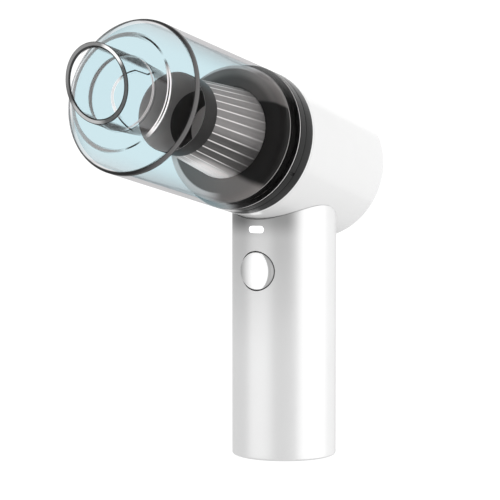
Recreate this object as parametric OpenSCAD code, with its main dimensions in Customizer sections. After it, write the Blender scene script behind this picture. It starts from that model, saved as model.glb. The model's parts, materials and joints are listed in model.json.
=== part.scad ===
// Cordless handheld car vacuum: a round upright handle with a tilted cylindrical head.
// The origin is the centre of the handle's flat bottom, +Z runs up the handle,
// and the nozzle points towards -Y. The left and right halves mirror about X = 0.

/* [Handle] */
// Outside diameter of the handle tube
handle_d = 48; // [46:0.5:52]
// Wall of the handle tube
handle_wall = 2; // [1.6:0.1:2.4]
// Rounding of the handle's bottom edge
handle_edge_r = 1.6; // [0.8:0.1:1.8]
// Shadow gap between the handle's top and the head
saddle_gap = 0.5; // [0.2:0.1:0.8]
// Thickness of the bottom cap
base_cap_t = 4; // [3.6:0.1:5]

/* [Head] */
// Outside diameter shared by the cup, the collar and the motor housing
head_d = 65.5; // [64:0.5:68]
// Upward tilt of the head's axis
head_tilt = 12; // [8:1:15]
// Height where the head's axis crosses the handle's axis
head_h = 138.5; // [138:0.5:150]
// Wall of the motor housing
housing_wall = 2.2; // [1.8:0.1:2.6]
// Length of the motor housing behind the handle's axis
housing_back = 36.6; // [36:0.2:40]
// Rounding of the housing's rear edge
housing_edge_r = 2; // [1:0.1:2.5]
// Length of the motor housing in front of the handle's axis
housing_front = 28.2; // [28:0.1:30]
// Visible length of the dark collar
collar_len = 11.2; // [10:0.1:13]

/* [Dust cup] */
// Wall of the clear cup
cup_wall = 1.75; // [1.5:0.05:2]
// Length of the cup's straight barrel
cup_len = 79.8; // [76:0.2:90]
// Length of the sloping shoulder
shoulder_len = 8; // [5:0.5:12]
// Diameter of the flat front face inside the shoulder
face_d = 48.6; // [42:0.2:54]
// Outside diameter of the nozzle at the face
nozzle_d = 31.4; // [30:0.2:34]
// Length of the nozzle in front of the face, at its middle
nozzle_len = 15.8; // [13:0.2:20]
// Slant of the nozzle's mouth
nozzle_slant = 19; // [0:1:22]
// Diameter of the straight bore that takes an accessory
bore_d = 28.2; // [26:0.2:28.6]
// Length of that straight bore
bore_len = 15; // [10:0.5:15]
// Length of the inlet tube behind the face
tube_in_len = 23.2; // [18:0.2:24]
// Outside diameter of the tube's inner end
tube_end_d = 28; // [26:0.2:29]
// Wall of the tube at its inner end
tube_end_wall = 1.4; // [1:0.1:1.6]
// Depth of the window cut back into the tube's inner end
window_depth = 9.5; // [6:0.5:11]

/* [Filter] */
// Width of the flat rim round the funnel's mouth
cap_rim_w = 1.3; // [0.8:0.1:2]
// Length of the cap's skirt
cap_len = 8.8; // [7:0.2:10]
// Depth of the funnel inside the cap
funnel_depth = 31; // [26:0.5:32]
// Diameter of the funnel's mouth
funnel_mouth_d = 32; // [31:0.2:32.4]
// Depth of the crease where the funnel steepens
crease_depth = 18.4; // [14:0.4:22]
// Diameter of the funnel at that crease
crease_d = 27; // [25:0.2:27.6]
// Diameter of the funnel's floor
funnel_floor_d = 22; // [18:0.5:23]
// Wall of the funnel
funnel_wall = 0.8; // [0.6:0.1:0.9]
// Length of the pleats that shows
pleat_len = 33; // [28:0.5:36]
// Number of pleats
pleats = 30; // [20:1:36]
// Diameter over the pleats at the base
pleat_back_d = 41; // [39:0.2:42]
// Depth of the pleats at the base
pleat_depth = 3.4; // [2.6:0.1:3.6]
// Thickness of the pleated paper
paper_t = 0.5; // [0.4:0.05:0.6]
// Height of the filter base's front face above the collar
base_rise = 10; // [9:0.2:12]
// Rounding of the base's front edge
base_edge_r = 4.4; // [3:0.2:5]
// Height of the black seal band
seal_h = 4.4; // [3.5:0.1:4.6]
// Play between the base and the cup
cup_play = 0.3; // [0.2:0.05:0.4]
// How far the base plugs into the collar
plug_len = 8; // [6:0.5:8.5]

/* [Button and light] */
// Diameter of the button's hole
button_hole_d = 18.2; // [16:0.2:19]
// Gap round the button
button_gap = 0.35; // [0.2:0.05:0.5]
// How far the button stands proud of the handle
button_proud = 1; // [0.6:0.1:1.6]
// Travel of the button
button_travel = 1.5; // [0.8:0.1:1.8]
// How far the light window is below the handle's top edge
light_drop = 5.1; // [4.6:0.1:7]
// How far the button's centre is below the light window's
button_drop = 18.8; // [18:0.2:22]
// Width of the light window
light_w = 8.2; // [6:0.2:9]
// Height of the light window's slot
light_h = 3.4; // [2.6:0.2:3.8]

/* [Battery] */
// Diameter of a cell
cell_d = 18.2; // [18:0.1:18.6]
// Length of a cell
cell_len = 65; // [64:0.5:66]

/* [Motor and fan] */
// Diameter of the motor can
motor_d = 28; // [24:0.5:30]
// Length of the motor can
motor_len = 36; // [32:0.5:36]
// Diameter of the shaft
shaft_d = 2.3; // [2:0.1:3]
// Diameter of the impeller
impeller_d = 44; // [36:0.5:46]
// Number of impeller blades
blades = 9; // [5:1:13]
// Height of the impeller blades
blade_h = 6; // [4:0.5:6]

/* [Hidden] */
// Facets of a round edge, and of small rounds
fine = 96;
small = 40;
// Steps along a rounded corner's arc
arc_steps = 6;
// Clearance between fixed pieces that touch
seat = 0.1;
// Clearance beside pieces that move
play = 0.3;
// Small screws, and the fit of their threads
screw_head_r = 2.2;
screw_head_h = 1.5;
screw_r = 1;
thread_fit = 0.05;
// Overshoot of cutting tools
cut = 1;
head_r = head_d / 2;
housing_in_r = head_r - housing_wall;
handle_r = handle_d / 2;
handle_in_r = handle_r - handle_wall;
// Stations along the head's axis, counted forwards from the handle's axis
collar_rear = housing_front;
collar_front = collar_rear + collar_len;
cup_rear = collar_front + seat;
cup_edge = cup_rear + cup_len;
face_s = cup_edge + shoulder_len;
cup_in_r = head_r - cup_wall;
mouth_s = face_s + nozzle_len;
nozzle_r = nozzle_d / 2;
slant_reach = nozzle_r * tan(nozzle_slant);
tube_end_s = face_s - tube_in_len;
bore_start = mouth_s - slant_reach - bore_len - seat;
// The nozzle's hole in the front face fits the tube with this play
nozzle_fit = 0.05;
tube_flange_t = 0.8;
tube_flange_w = 0.7;
tube_flange_ramp = 2;
mouth_flare = 0.06;
// The window's lower edge and height, as shares of the nozzle's radius
window_low = 0.55;
window_tall = 1.4;
// The filter, from its base in the collar to its cap in the middle of the cup
base_front = collar_front + base_rise;
base_r = cup_in_r - cup_play;
seal_flange_t = 0.4;
seal_s = collar_front + play + seal_flange_t;
seal_w = 3;
pleat_seat = 0.6;
pleat_back_s = base_front - pleat_seat;
crest_share = 0.222;
valley_share = 0.167;
crest_inside = 0.7;
valley_inside = 1.4;
pleat_front_s = pleat_back_s + pleat_len;
cap_rear = pleat_front_s + seat;
cap_front = cap_rear + cap_len;
cap_r = funnel_mouth_d / 2 + cap_rim_w;
pleat_front_inset = 0.4;
funnel_floor_s = cap_front - funnel_depth;
crease_s = cap_front - crease_depth;
core_ribs = 6;
// The collar's bore and the spigot that plugs into the housing
collar_wall = 3.6;
collar_in_r = head_r - collar_wall;
collar_ledge = 2;
spigot_wall = 1.8;
spigot_len = 4;
spigot_r = housing_in_r - seat;
plug_r = collar_in_r - play;
plug_wall = 2;
base_web_t = 2;
base_web_depth = 2.3;
base_step = 0.4;
base_seat_r = pleat_back_d / 2 - pleat_depth - paper_t - base_step;
air_r = 13.5;
notch_angle = -29;
notch_w = 1;
notch_depth = 0.5;
groove_back = 4.1;
groove_s = collar_front - groove_back;
groove_w = 0.6;
collar_screw_count = 3;
collar_screw_grip = 2.6;
collar_boss_r = screw_head_r + 0.8;
collar_screw_at = spigot_r - spigot_wall - collar_boss_r + 0.2;
// The grille closes the collar behind the filter
grille_t = 1.8;
grille_s = collar_front - plug_len - play - grille_t;
grille_pitch = 4;
grille_gap = 2.6;
grille_rows = floor((collar_screw_at - screw_head_r - grille_gap) / grille_pitch);
grille_spokes = 6;
spoke_w = 1.6;
// Fan, from the motor plate to the shroud's front
plate_s = 13;
plate_t = 1.6;
shroud_front = collar_rear - spigot_len - seat;
shroud_wall = 1.2;
fan_room = 2.6;
shroud_r = impeller_d / 2 + fan_room;
eye_r = 12;
impeller_gap = 0.6;
impeller_s = plate_s + plate_t + impeller_gap;
hub_disc_t = 1.2;
hub_r = 4;
// The blades start inside the hub
blade_root = 3;
blade_t = 1.2;
blade_arc_r = 16;
outlet_count = 12;
outlet_w = 5;
outlet_h = 4;
plate_slots = 8;
plate_slot_angle = 30;
plate_slot_in = 2;
plate_slot_rim = 4;
housing_ledge = 2.2;
// Motor, behind its plate
motor_r = motor_d / 2;
motor_front = plate_s - seat;
motor_rear = motor_front - motor_len;
can_wall = 1.4;
magnet_t = 1.9;
magnet_angle = 130;
magnet_gap = 0.6;
armature_r = motor_r - can_wall - magnet_t - magnet_gap;
armature_len = 18;
armature_slots = 5;
slot_depth = 3.5;
slot_w = 2.4;
winding_room = 3;
armature_front = motor_front - can_wall - winding_room;
armature_back = armature_front - armature_len;
shaft_r = shaft_d / 2;
bush_r = 3;
bush_len = 3;
bush_clear = 0.05;
bush_press = 0.02;
nose_r = bush_r + 1.4;
nose_len = 1.4;
bell_t = 2;
bell_inset = 0.4;
bell_s = motor_rear + bell_inset;
bell_nose = 1.6;
press = 0.01;
commutator_r = 2.8;
commutator_len = 5;
commutator_s = armature_back - 0.6 - commutator_len;
brush_len = 5;
brush_w = 3;
mount_ring_t = 1.8;
mount_len = 5;
// Rear cover and its vents
cover_inset = 0.7;
cover_t = 2;
cover_s = -housing_back + cover_inset;
cover_r = housing_in_r - seat;
cover_lip = 4;
cover_lip_t = 1.6;
cover_dome = 1.6;
cover_edge_w = 2;
cover_edge_h = 1.1;
cover_edge_s = 0.3;
vent_rows = [9, 14, 19, 24];
vent_w = 2;
vents_per_row = 8;
vent_gap_angle = 12;
sleeve_r = motor_r + mount_ring_t + seat;
sleeve_wall = 1.4;
cover_screw_len = 7;
cover_screw_sink = 0.4;
cover_boss_r = 3.6;
cover_boss_len = 7;
cover_screw_at = housing_in_r - cover_boss_r + 0.3;
// Leads from the control board to the motor
lead_r = 0.7;
lead_bead = 0.06;
lead_x = 1.6;
lead_slot_w = 7;
lead_hole_r = 4;
lead_rise = 14;
lead_bend_s = -12;
// Neck of the housing inside the handle's top
neck_r = handle_in_r - seat;
neck_wall = 2;
neck_below_light = 7.5;
// Where the head's underside meets the handle's front, and the heights that hang from it
top_edge_z = head_h + (handle_r * sin(head_tilt) - head_r) / cos(head_tilt);
light_z = top_edge_z - light_drop;
button_z = light_z - button_drop;
neck_bottom = light_z - neck_below_light;
neck_web_t = 2;
neck_web_front = 4;
// Frame inside the handle
plate_r = handle_in_r - seat;
frame_bottom = base_cap_t + seat;
frame_t = 2;
cell_z = frame_bottom + frame_t + seat;
cell_x = cell_d / 2 + play;
frame_mid = cell_z + cell_len + seat;
spine_t = 1.5;
spine_gap = 0.5;
spine_y = cell_d / 2 + spine_gap;
spine_w = 26;
plug_hole_w = 10;
plug_hole_h = 8;
plug_hole_z = 12;
cheek_x = 11.5;
cheek_t = 2;
board_t = 1.6;
switch_board_y = -9.8;
switch_board_w = 26;
switch_board_bottom = frame_mid + frame_t + seat;
board_above_light = 2.2;
board_way = 6;
switch_board_top = light_z + board_above_light;
frame_top = neck_bottom - seat;
neck_screw_x = 8;
neck_screw_y = 4;
neck_screw_len = 5;
base_screw_y = 17;
base_screw_len = 7.5;
base_screw_sink = 2;
base_boss_h = 4.6;
boss_wall = 0.4;
// Boards and the charging port
board_post = 1.6;
board_post_x = 11;
board_post_w = 3;
board_post_h = 2;
board_y = spine_y + spine_t + board_post;
board_w = 28;
board_bottom = 10;
board_top = frame_mid;
port_z = 18;
port_w = 9;
port_h = 3.2;
port_wall = 0.35;
port_depth = 6;
port_play = 0.3;
port_sunk = 0.6;
tab_t = 0.2;
tab_w = 6;
// Button, switch and light
button_r = button_hole_d / 2 - button_gap;
button_face = handle_r + button_proud;
button_edge_r = 1;
button_dome = 0.7;
button_wall = 1.6;
button_face_t = 1.8;
button_arc = 75;
flange_w = 1.4;
flange_t = 1;
guide_wall = 1.2;
guide_back = sqrt(pow(handle_in_r, 2) - pow(button_r + flange_w + play, 2)) - seat;
stem_r = 1.5;
// The switch is as deep as the stem's reach, the button's travel and a floor
stem_in = 1;
switch_floor = 1;
switch_w = 12;
switch_t = stem_in + button_travel + play + switch_floor;
switch_back = board_t + seat - switch_board_y;
switch_front = switch_back + switch_t;
stem_tip = switch_front - stem_in;
chip_t = 1.4;
chip_w = 5;
chip_h = 2.4;
lens_play = 0.1;

function arc_points(cx, cy, r, a0, a1, n) =
  [for (i = [0:n]) [cx + r * cos(a0 + (a1 - a0) * i / n), cy + r * sin(a0 + (a1 - a0) * i / n)]];

// Puts a piece drawn along +Z onto the head's tilted axis
module on_head() {
  translate([0, 0, head_h]) rotate([90 - head_tilt, 0, 0]) children();
}

// A point given across, above and along the head's axis
function head_point(across, up, s) =
  [across, up * sin(head_tilt) - s * cos(head_tilt), head_h + up * cos(head_tilt) + s * sin(head_tilt)];

// A solid of revolution from a profile of [radius, station] points
module turned(profile) {
  rotate_extrude($fn = fine) polygon(profile);
}

// A ring between two radii and two stations
module ring(r_out, r_in, s0, s1) {
  turned([[r_in, s0], [r_out, s0], [r_out, s1], [r_in, s1]]);
}

module disc(r, s0, s1) {
  translate([0, 0, s0]) cylinder(r = r, h = s1 - s0, $fn = fine);
}

module peg(r, s0, s1) {
  translate([0, 0, s0]) cylinder(r = r, h = s1 - s0, $fn = small);
}

// A block given by its middle in X and Y, and its lowest and highest Z
module block(x, y, z0, z1) {
  translate([-x / 2, -y / 2, z0]) cube([x, y, z1 - z0]);
}

// A wire through a list of points, with round bends
module wire(points) {
  for (i = [0:len(points) - 2]) {
    d = points[i + 1] - points[i];
    translate(points[i]) rotate([0, acos(d[2] / norm(d)), atan2(d[1], d[0])])
      cylinder(r = lead_r, h = norm(d), $fn = small);
    if (i > 0) translate(points[i]) sphere(r = lead_r + lead_bead, $fn = small);
  }
}

module around(count) {
  for (i = [0:count - 1]) rotate([0, 0, i * 360 / count]) children();
}

// Screw with a countersunk head, its tip up
module screw(len) {
  cylinder(r1 = screw_head_r, r2 = screw_r, h = screw_head_h, $fn = small);
  cylinder(r = screw_r, h = len, $fn = small);
}

// Hole for that screw, open behind its head
module screw_hole(len) {
  peg(screw_head_r + seat, -2 * cut, 0);
  cylinder(r1 = screw_head_r + seat, r2 = screw_r + seat, h = screw_head_h, $fn = small);
  cylinder(r = screw_r + seat, h = len, $fn = small);
}

// Dust cup

module dust_cup() {
  out = [[head_r, cup_rear], [head_r, cup_edge], [face_d / 2, face_s], [nozzle_r + nozzle_fit, face_s]];
  slope = (head_r - face_d / 2) / shoulder_len;
  in_face = face_s - cup_wall;
  in_edge = cup_edge - cup_wall * slope / 2;
  in_face_r = face_d / 2 - cup_wall / 2;
  color("LightCyan", 0.4) on_head()
    turned(concat(out, [[nozzle_r + nozzle_fit, in_face], [in_face_r, in_face], [cup_in_r, in_edge],
      [cup_in_r, cup_rear]]));
}

// The tube's outside, from the slanted mouth to its narrower inner end
module tube_outside() {
  behind = face_s - cup_wall - seat;
  flange_r = nozzle_r + tube_flange_w;
  flange_s = behind - tube_flange_t;
  end = mouth_s + slant_reach + cut;
  turned([[0, tube_end_s], [tube_end_d / 2, tube_end_s],
    [nozzle_r - tube_flange_w, flange_s - tube_flange_ramp], [flange_r, flange_s], [flange_r, behind],
    [nozzle_r, behind], [nozzle_r, end], [0, end]]);
}

module tube_inside() {
  lead = mouth_s + slant_reach + 2 * cut;
  end_r = tube_end_d / 2 - tube_end_wall;
  bore_end = bore_start + bore_len;
  flare = (lead - bore_end) * mouth_flare;
  turned([[0, tube_end_s - cut], [end_r, tube_end_s - cut], [end_r, tube_end_s], [bore_d / 2, bore_start],
    [bore_d / 2, bore_end], [bore_d / 2 + flare, lead], [0, lead]]);
}

module inlet_tube() {
  color("LightCyan", 0.4) on_head() difference() {
    tube_outside();
    tube_inside();
    // Slanted mouth: the upper lip reaches further forward than the lower one
    translate([0, 0, mouth_s]) rotate([nozzle_slant, 0, 0])
      block(4 * nozzle_r, 4 * nozzle_r, 0, 3 * nozzle_len);
    // Window cut back into the inner end, on the -X side
    translate([-2 * nozzle_r, -window_low * nozzle_r, tube_end_s - cut])
      cube([2 * nozzle_r, window_tall * nozzle_r, window_depth + cut]);
  }
}

// Filter

// Inner radius of the funnel at a station, in two slopes that meet at the crease
function funnel_r(s) = s > crease_s
  ? crease_d / 2 + (funnel_mouth_d - crease_d) / 2 * (s - crease_s) / crease_depth
  : funnel_floor_d / 2
    + (crease_d - funnel_floor_d) / 2 * (s - funnel_floor_s) / (funnel_depth - crease_depth);

funnel_floor_out = funnel_floor_d / 2 + funnel_wall;
cap_neck_r = funnel_r(cap_rear) + funnel_wall;

module filter_cap() {
  lip = 0.4;
  color("DimGray") on_head() turned([
    [0, funnel_floor_s - funnel_wall], [funnel_floor_out, funnel_floor_s - funnel_wall],
    [crease_d / 2 + funnel_wall, crease_s], [cap_neck_r, cap_rear], [cap_r, cap_rear],
    [cap_r, cap_front - lip], [cap_r - lip, cap_front], [funnel_mouth_d / 2, cap_front],
    [crease_d / 2, crease_s], [funnel_floor_d / 2, funnel_floor_s], [0, funnel_floor_s]]);
}

// One ring of the pleated paper: a flat crest and a flat valley for each pleat
function pleat_ring(r_crest, r_valley, s, crest, valley) = [
  for (i = [0:pleats - 1]) for (k = [0:3])
    let (step = 360 / pleats,
      a = step * i + [-crest, crest, step / 2 - valley, step / 2 + valley][k],
      r = k < 2 ? r_crest : r_valley)
    [r * cos(a), r * sin(a), s]
];

module pleated_filter() {
  n = 4 * pleats;
  back_r = pleat_back_d / 2;
  front_r = cap_r - pleat_front_inset;
  // The pleats' front end fits round the funnel
  front_valley = cap_neck_r + seat + paper_t;
  back_valley = back_r - pleat_depth;
  crest = crest_share * 360 / pleats;
  valley = valley_share * 360 / pleats;
  in_crest = crest * crest_inside;
  in_valley = valley * valley_inside;
  points = concat(
    pleat_ring(back_r, back_valley, pleat_back_s, crest, valley),
    pleat_ring(front_r, front_valley, pleat_front_s, crest, valley),
    pleat_ring(front_r - paper_t, front_valley - paper_t, pleat_front_s, in_crest, in_valley),
    pleat_ring(back_r - paper_t, back_valley - paper_t, pleat_back_s, in_crest, in_valley));
  // Each pair of rings is joined by two triangles for each side of the outline
  faces = [for (q = [0:3]) for (i = [0:n - 1]) for (half = [0:1])
    let (j = (i + 1) % n, a = q * n, b = ((q + 1) % 4) * n)
    half == 0 ? [a + i, b + i, b + j] : [a + i, b + j, a + j]];
  color("Silver") on_head() polyhedron(points, faces);
}

// Inner radius of the pleats' valleys at a station
function pleat_valley_r(s) =
  let (back = pleat_back_d / 2 - pleat_depth - paper_t)
  back + (cap_neck_r + seat - back) * (s - pleat_back_s) / pleat_len;

// Ribbed cage that holds the pleats off the funnel and joins the cap to the base
module filter_core() {
  back = base_front - base_web_depth + seat;
  front = funnel_floor_s - funnel_wall - seat;
  horn = 5;
  stop = front + horn;
  ring_t = 1.2;
  ring_h = 1.6;
  rim_w = 2;
  rib_inset = 0.3;
  color("DarkGray") on_head() {
    ring(base_seat_r - seat, air_r, back, back + ring_h);
    ring(pleat_valley_r(front) - play, funnel_floor_out - rim_w, front - ring_h, front);
    around(core_ribs) rotate([90, 0, 0]) translate([0, 0, -ring_t / 2]) linear_extrude(ring_t)
      polygon([[air_r + rib_inset, back + ring_h / 2], [base_seat_r - seat - rib_inset, back + ring_h / 2],
        [pleat_valley_r(stop) - play - rib_inset, stop], [funnel_r(stop) + funnel_wall + play, stop],
        [funnel_floor_out + play, front], [funnel_floor_out - rim_w / 2, front - ring_h / 2]]);
  }
}

module filter_base() {
  back_r = pleat_back_d / 2;
  edge = base_front - base_edge_r;
  root = pleat_back_s - seat;
  rim_gap = 0.2;
  web = base_front - base_web_depth;
  plug_s = collar_front - plug_len;
  seal_top = seal_s + seal_h + seat;
  color("#262626") on_head() turned(concat(
    [[plug_r - plug_wall, plug_s], [plug_r, plug_s], [plug_r, collar_front + play],
      [base_r - base_step, collar_front + play], [base_r - base_step, seal_s - seat],
      [base_r - seal_w, seal_s - seat], [base_r - seal_w, seal_top], [base_r, seal_top]],
    arc_points(base_r - base_edge_r, edge, base_edge_r, 0, 90, arc_steps),
    [[back_r + rim_gap, base_front], [back_r + rim_gap, root], [base_seat_r, root], [base_seat_r, web],
      [air_r, web], [air_r, web - base_web_t], [plug_r - plug_wall, web - base_web_t]]));
}

module filter_seal() {
  lip = 0.5;
  color("#111111") on_head() turned([
    [base_r - seal_w + seat, seal_s], [base_r - lip, seal_s], [base_r, seal_s + lip],
    [base_r - lip, seal_s + seal_h / 2], [base_r, seal_s + seal_h - lip], [base_r - lip, seal_s + seal_h],
    [base_r - seal_w + seat, seal_s + seal_h]]);
}

// Collar

module collar_screw_places() {
  around(collar_screw_count) translate([0, collar_screw_at, 0]) children();
}

module front_collar() {
  edge = 0.4;
  ledge_r = collar_in_r - collar_ledge;
  spigot_s = collar_rear - spigot_len;
  color("#303030") on_head() difference() {
    union() {
      turned([[spigot_r - spigot_wall, spigot_s], [spigot_r, spigot_s], [spigot_r, collar_rear],
        [head_r, collar_rear], [head_r, groove_s - groove_w],
        [head_r - groove_w / 2, groove_s - groove_w / 2],
        [head_r, groove_s], [head_r, collar_front - edge], [head_r - edge, collar_front],
        [collar_in_r, collar_front], [collar_in_r, grille_s], [ledge_r, grille_s], [ledge_r, collar_rear],
        [spigot_r - spigot_wall, collar_rear]]);
      collar_screw_places() peg(collar_boss_r, collar_rear - cut, grille_s - seat);
    }
    // Short line across the collar's front half, where its two moulded halves of the rim meet
    rotate([0, 0, notch_angle]) translate([head_r - notch_depth, -notch_w / 2, groove_s - groove_w])
      cube([head_r, notch_w, collar_front]);
    collar_screw_places() peg(screw_r + thread_fit, collar_rear - 2 * cut, collar_front);
  }
}

// Screws that hold the grille onto the collar's bosses, heads facing the filter
module collar_screws() {
  color("Silver") on_head() collar_screw_places()
    translate([0, 0, grille_s + grille_t]) mirror([0, 0, 1]) screw(grille_t + collar_screw_grip);
}

module intake_grille() {
  color("DimGray") on_head() difference() {
    disc(collar_in_r - seat, grille_s, grille_s + grille_t);
    for (r = [grille_pitch:grille_pitch:grille_pitch * grille_rows]) difference() {
      ring(r + grille_gap, r, grille_s - cut, grille_s + grille_t + cut);
      around(grille_spokes) block(2 * head_d, spoke_w, grille_s - 2 * cut, grille_s + grille_t + 2 * cut);
    }
    collar_screw_places()
      translate([0, 0, grille_s + grille_t]) mirror([0, 0, 1]) screw_hole(grille_t + cut);
  }
}

// Motor housing

// Outline of the light window and of holes that follow it, drawn towards -Y
module light_slot(w, h, y0, y1) {
  translate([0, -y0, light_z]) rotate([90, 0, 0]) linear_extrude(y1 - y0) {
    square([w - h, h], center = true);
    for (side = [-1, 1]) translate([side * (w - h) / 2, 0]) circle(d = h, $fn = small);
  }
}

module housing_outside() {
  back = -housing_back;
  turned(concat([[0, back]],
    arc_points(head_r - housing_edge_r, back + housing_edge_r, housing_edge_r, -90, 0, arc_steps),
    [[head_r, collar_rear - seat], [0, collar_rear - seat]]));
}

module neck_screw_places() {
  for (side = [-1, 1]) translate([side * neck_screw_x, neck_screw_y, 0]) children();
}

module motor_housing() {
  bosses_s = cover_s + cover_t + seat;
  color("White") difference() {
    union() {
      difference() {
        union() {
          on_head() housing_outside();
          disc(neck_r, neck_bottom, head_h);
        }
        on_head() {
          disc(housing_in_r, plate_s, collar_rear + cut);
          disc(housing_in_r - housing_ledge, plate_s - housing_ledge - cut, plate_s + cut);
          disc(housing_in_r, -housing_back - cut, plate_s - housing_ledge);
        }
        // Way from the handle into the motor chamber, past the web that carries the handle's frame
        difference() {
          disc(neck_r - neck_wall, neck_bottom - cut, head_h - cut);
          translate([-head_r, switch_board_y + neck_web_front, neck_bottom])
            cube([head_d, head_d, neck_web_t]);
        }
      }
      // Bosses on the wall that take the rear cover's screws
      on_head() cover_screw_places() peg(cover_boss_r, bosses_s, bosses_s + cover_boss_len);
    }
    on_head() cover_screw_places()
      peg(screw_r + thread_fit, bosses_s - cut, cover_s + cover_screw_sink + cover_screw_len + seat);
    translate([0, board_y, 0]) peg(lead_hole_r, neck_bottom - cut, neck_bottom + neck_web_t + cut);
    neck_screw_places() peg(screw_r + thread_fit, neck_bottom - cut, neck_bottom + neck_web_t + cut);
    light_slot(light_w + 4 * lens_play, light_h + 4 * lens_play, 0, handle_r + cut);
    // The board's upper end reaches past the front of the web
    translate([0, switch_board_y - board_t / 2, 0])
      block(switch_board_w + 2 * play, board_t + board_way, neck_bottom - cut, switch_board_top + 2 * cut);
  }
}

// Slot under the motor where its leads pass the rear mount
module lead_slot() {
  deep = sleeve_r + sleeve_wall - motor_r;
  translate([0, -sleeve_r - sleeve_wall, 0])
    block(lead_slot_w, 2 * deep + cut, cover_s + cover_t, motor_rear + mount_len + cut);
}

module cover_screw_places() {
  for (side = [-1, 1]) translate([side * cover_screw_at, 0, 0]) children();
}

module rear_cover() {
  back = cover_s;
  front = cover_s + cover_t;
  color("WhiteSmoke") on_head() difference() {
    union() {
      // Shallow dome with a lip that fits the housing's bore
      turned([[0, back - cover_dome + cover_inset], [cover_r / 2, back - cover_dome / 2 + cover_inset / 2],
        [cover_r - cover_edge_w, back + cover_edge_s], [cover_r, back + cover_edge_s + cover_edge_h],
        [cover_r, front + cover_lip], [cover_r - cover_lip_t, front + cover_lip],
        [cover_r - cover_lip_t, front], [0, front]]);
      ring(sleeve_r + sleeve_wall, sleeve_r, front - seat, motor_rear + mount_len);
    }
    lead_slot();
    cover_screw_places() {
      translate([0, 0, back + cover_screw_sink]) screw_hole(cover_screw_len);
      peg(cover_boss_r + play, front, front + cover_lip + cut);
    }
    for (row = [0:len(vent_rows) - 1]) around(vents_per_row)
      rotate([0, 0, vent_gap_angle / 2]) translate([0, 0, back - 2 * cut])
        rotate_extrude(angle = 360 / vents_per_row - vent_gap_angle, $fn = fine)
          translate([vent_rows[row], 0]) square([vent_w, cover_t + 4 * cut]);
  }
}

// The rear cover's screws run forwards into bosses on the housing's wall
module rear_cover_screws() {
  color("Silver") on_head() cover_screw_places()
    translate([0, 0, cover_s + cover_screw_sink]) screw(cover_screw_len);
}

// Fan

module fan_shroud() {
  back = plate_s + plate_t + seat;
  color("#3a3a3a") on_head() {
    difference() {
      disc(shroud_r + shroud_wall, back, shroud_front);
      disc(shroud_r, back - cut, shroud_front - shroud_wall);
      disc(eye_r, back, shroud_front + cut);
      // Air leaves the fan through ports round the back of the shroud's wall
      around(outlet_count) translate([shroud_r, 0, 0])
        block(4 * shroud_wall, outlet_w, back - cut, back + outlet_h);
    }
  }
}

module impeller() {
  tip = impeller_d / 2;
  top = impeller_s + hub_disc_t;
  color("#4a4a4a") on_head() difference() {
    union() {
      disc(tip, impeller_s, top);
      peg(hub_r, impeller_s, top + blade_h);
      // Backward-curved blades: arcs of a circle that leave the hub and end at the tip
      intersection() {
        around(blades) translate([blade_root, -blade_arc_r, 0]) difference() {
          disc(blade_arc_r, top - seat, top + blade_h);
          disc(blade_arc_r - blade_t, top - cut, top + blade_h + cut);
          translate([-2 * blade_arc_r, -blade_arc_r, top - cut])
            cube([2 * blade_arc_r, 2 * blade_arc_r, 2 * blade_h]);
        }
        disc(tip, top - seat, top + blade_h);
      }
    }
    peg(shaft_r + press, impeller_s - cut, top + blade_h + cut);
  }
}

module motor_plate() {
  color("#3a3a3a") on_head() difference() {
    disc(housing_in_r - seat, plate_s, plate_s + plate_t);
    peg(nose_r + 2 * seat, plate_s - cut, plate_s + plate_t + cut);
    // Exhaust slots between the shroud and the housing wall
    around(plate_slots) rotate_extrude(angle = plate_slot_angle, $fn = fine)
      translate([motor_r + plate_slot_in, plate_s - cut])
        square([housing_in_r - motor_r - plate_slot_in - plate_slot_rim, plate_t + 2 * cut]);
  }
}

// Motor

module motor_can() {
  color("Silver") on_head() difference() {
    union() {
      disc(motor_r, motor_rear, motor_front);
      peg(nose_r, motor_front - cut, motor_front + nose_len);
    }
    disc(motor_r - can_wall, motor_rear - cut, motor_front - can_wall);
    peg(bush_r, motor_front - bush_len, motor_front + nose_len + cut);
  }
}

module motor_magnets() {
  r_out = motor_r - can_wall - seat;
  color("#555555") on_head() for (side = [0, 180])
    rotate([0, 0, side - magnet_angle / 2]) rotate_extrude(angle = magnet_angle, $fn = fine)
      translate([r_out - magnet_t, armature_back]) square([magnet_t, armature_len + winding_room - cut]);
}

module motor_end_bell() {
  color("#202020") on_head() difference() {
    union() {
      disc(motor_r - can_wall - seat, bell_s, bell_s + bell_t);
      peg(nose_r, bell_s - bell_nose, bell_s + cut);
    }
    peg(bush_r, motor_rear - 2 * cut, motor_rear + bell_t + cut);
  }
}

module bushing(s0) {
  color("Peru") on_head() difference() {
    peg(bush_r - bush_press, s0, s0 + bush_len);
    peg(shaft_r + bush_clear, s0 - cut, s0 + bush_len + cut);
  }
}

module front_bushing() {
  bushing(motor_front + nose_len - 2 * seat - bush_len);
}

module rear_bushing() {
  bushing(bell_s - bell_nose + 3 * seat);
}

module motor_shaft() {
  color("Gainsboro") on_head() peg(shaft_r, motor_rear - cut, impeller_s + hub_disc_t + blade_h + cut / 2);
}

module armature() {
  color("#8a5a2a") on_head() difference() {
    disc(armature_r, armature_back, armature_front);
    around(armature_slots) translate([armature_r, 0, 0])
      block(2 * slot_depth, slot_w, armature_back - cut, armature_front + cut);
    peg(shaft_r + press, armature_back - cut, armature_front + cut);
  }
}

module commutator() {
  color("DarkGoldenrod") on_head()
    ring(commutator_r, shaft_r + press, commutator_s, commutator_s + commutator_len);
}

module motor_brushes() {
  color("#333333") on_head() for (side = [-1, 1])
    translate([side * (commutator_r + play + brush_len / 2), 0, 0])
      block(brush_len, brush_w, bell_s + bell_t + seat, commutator_s + commutator_len - cut);
}

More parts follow.
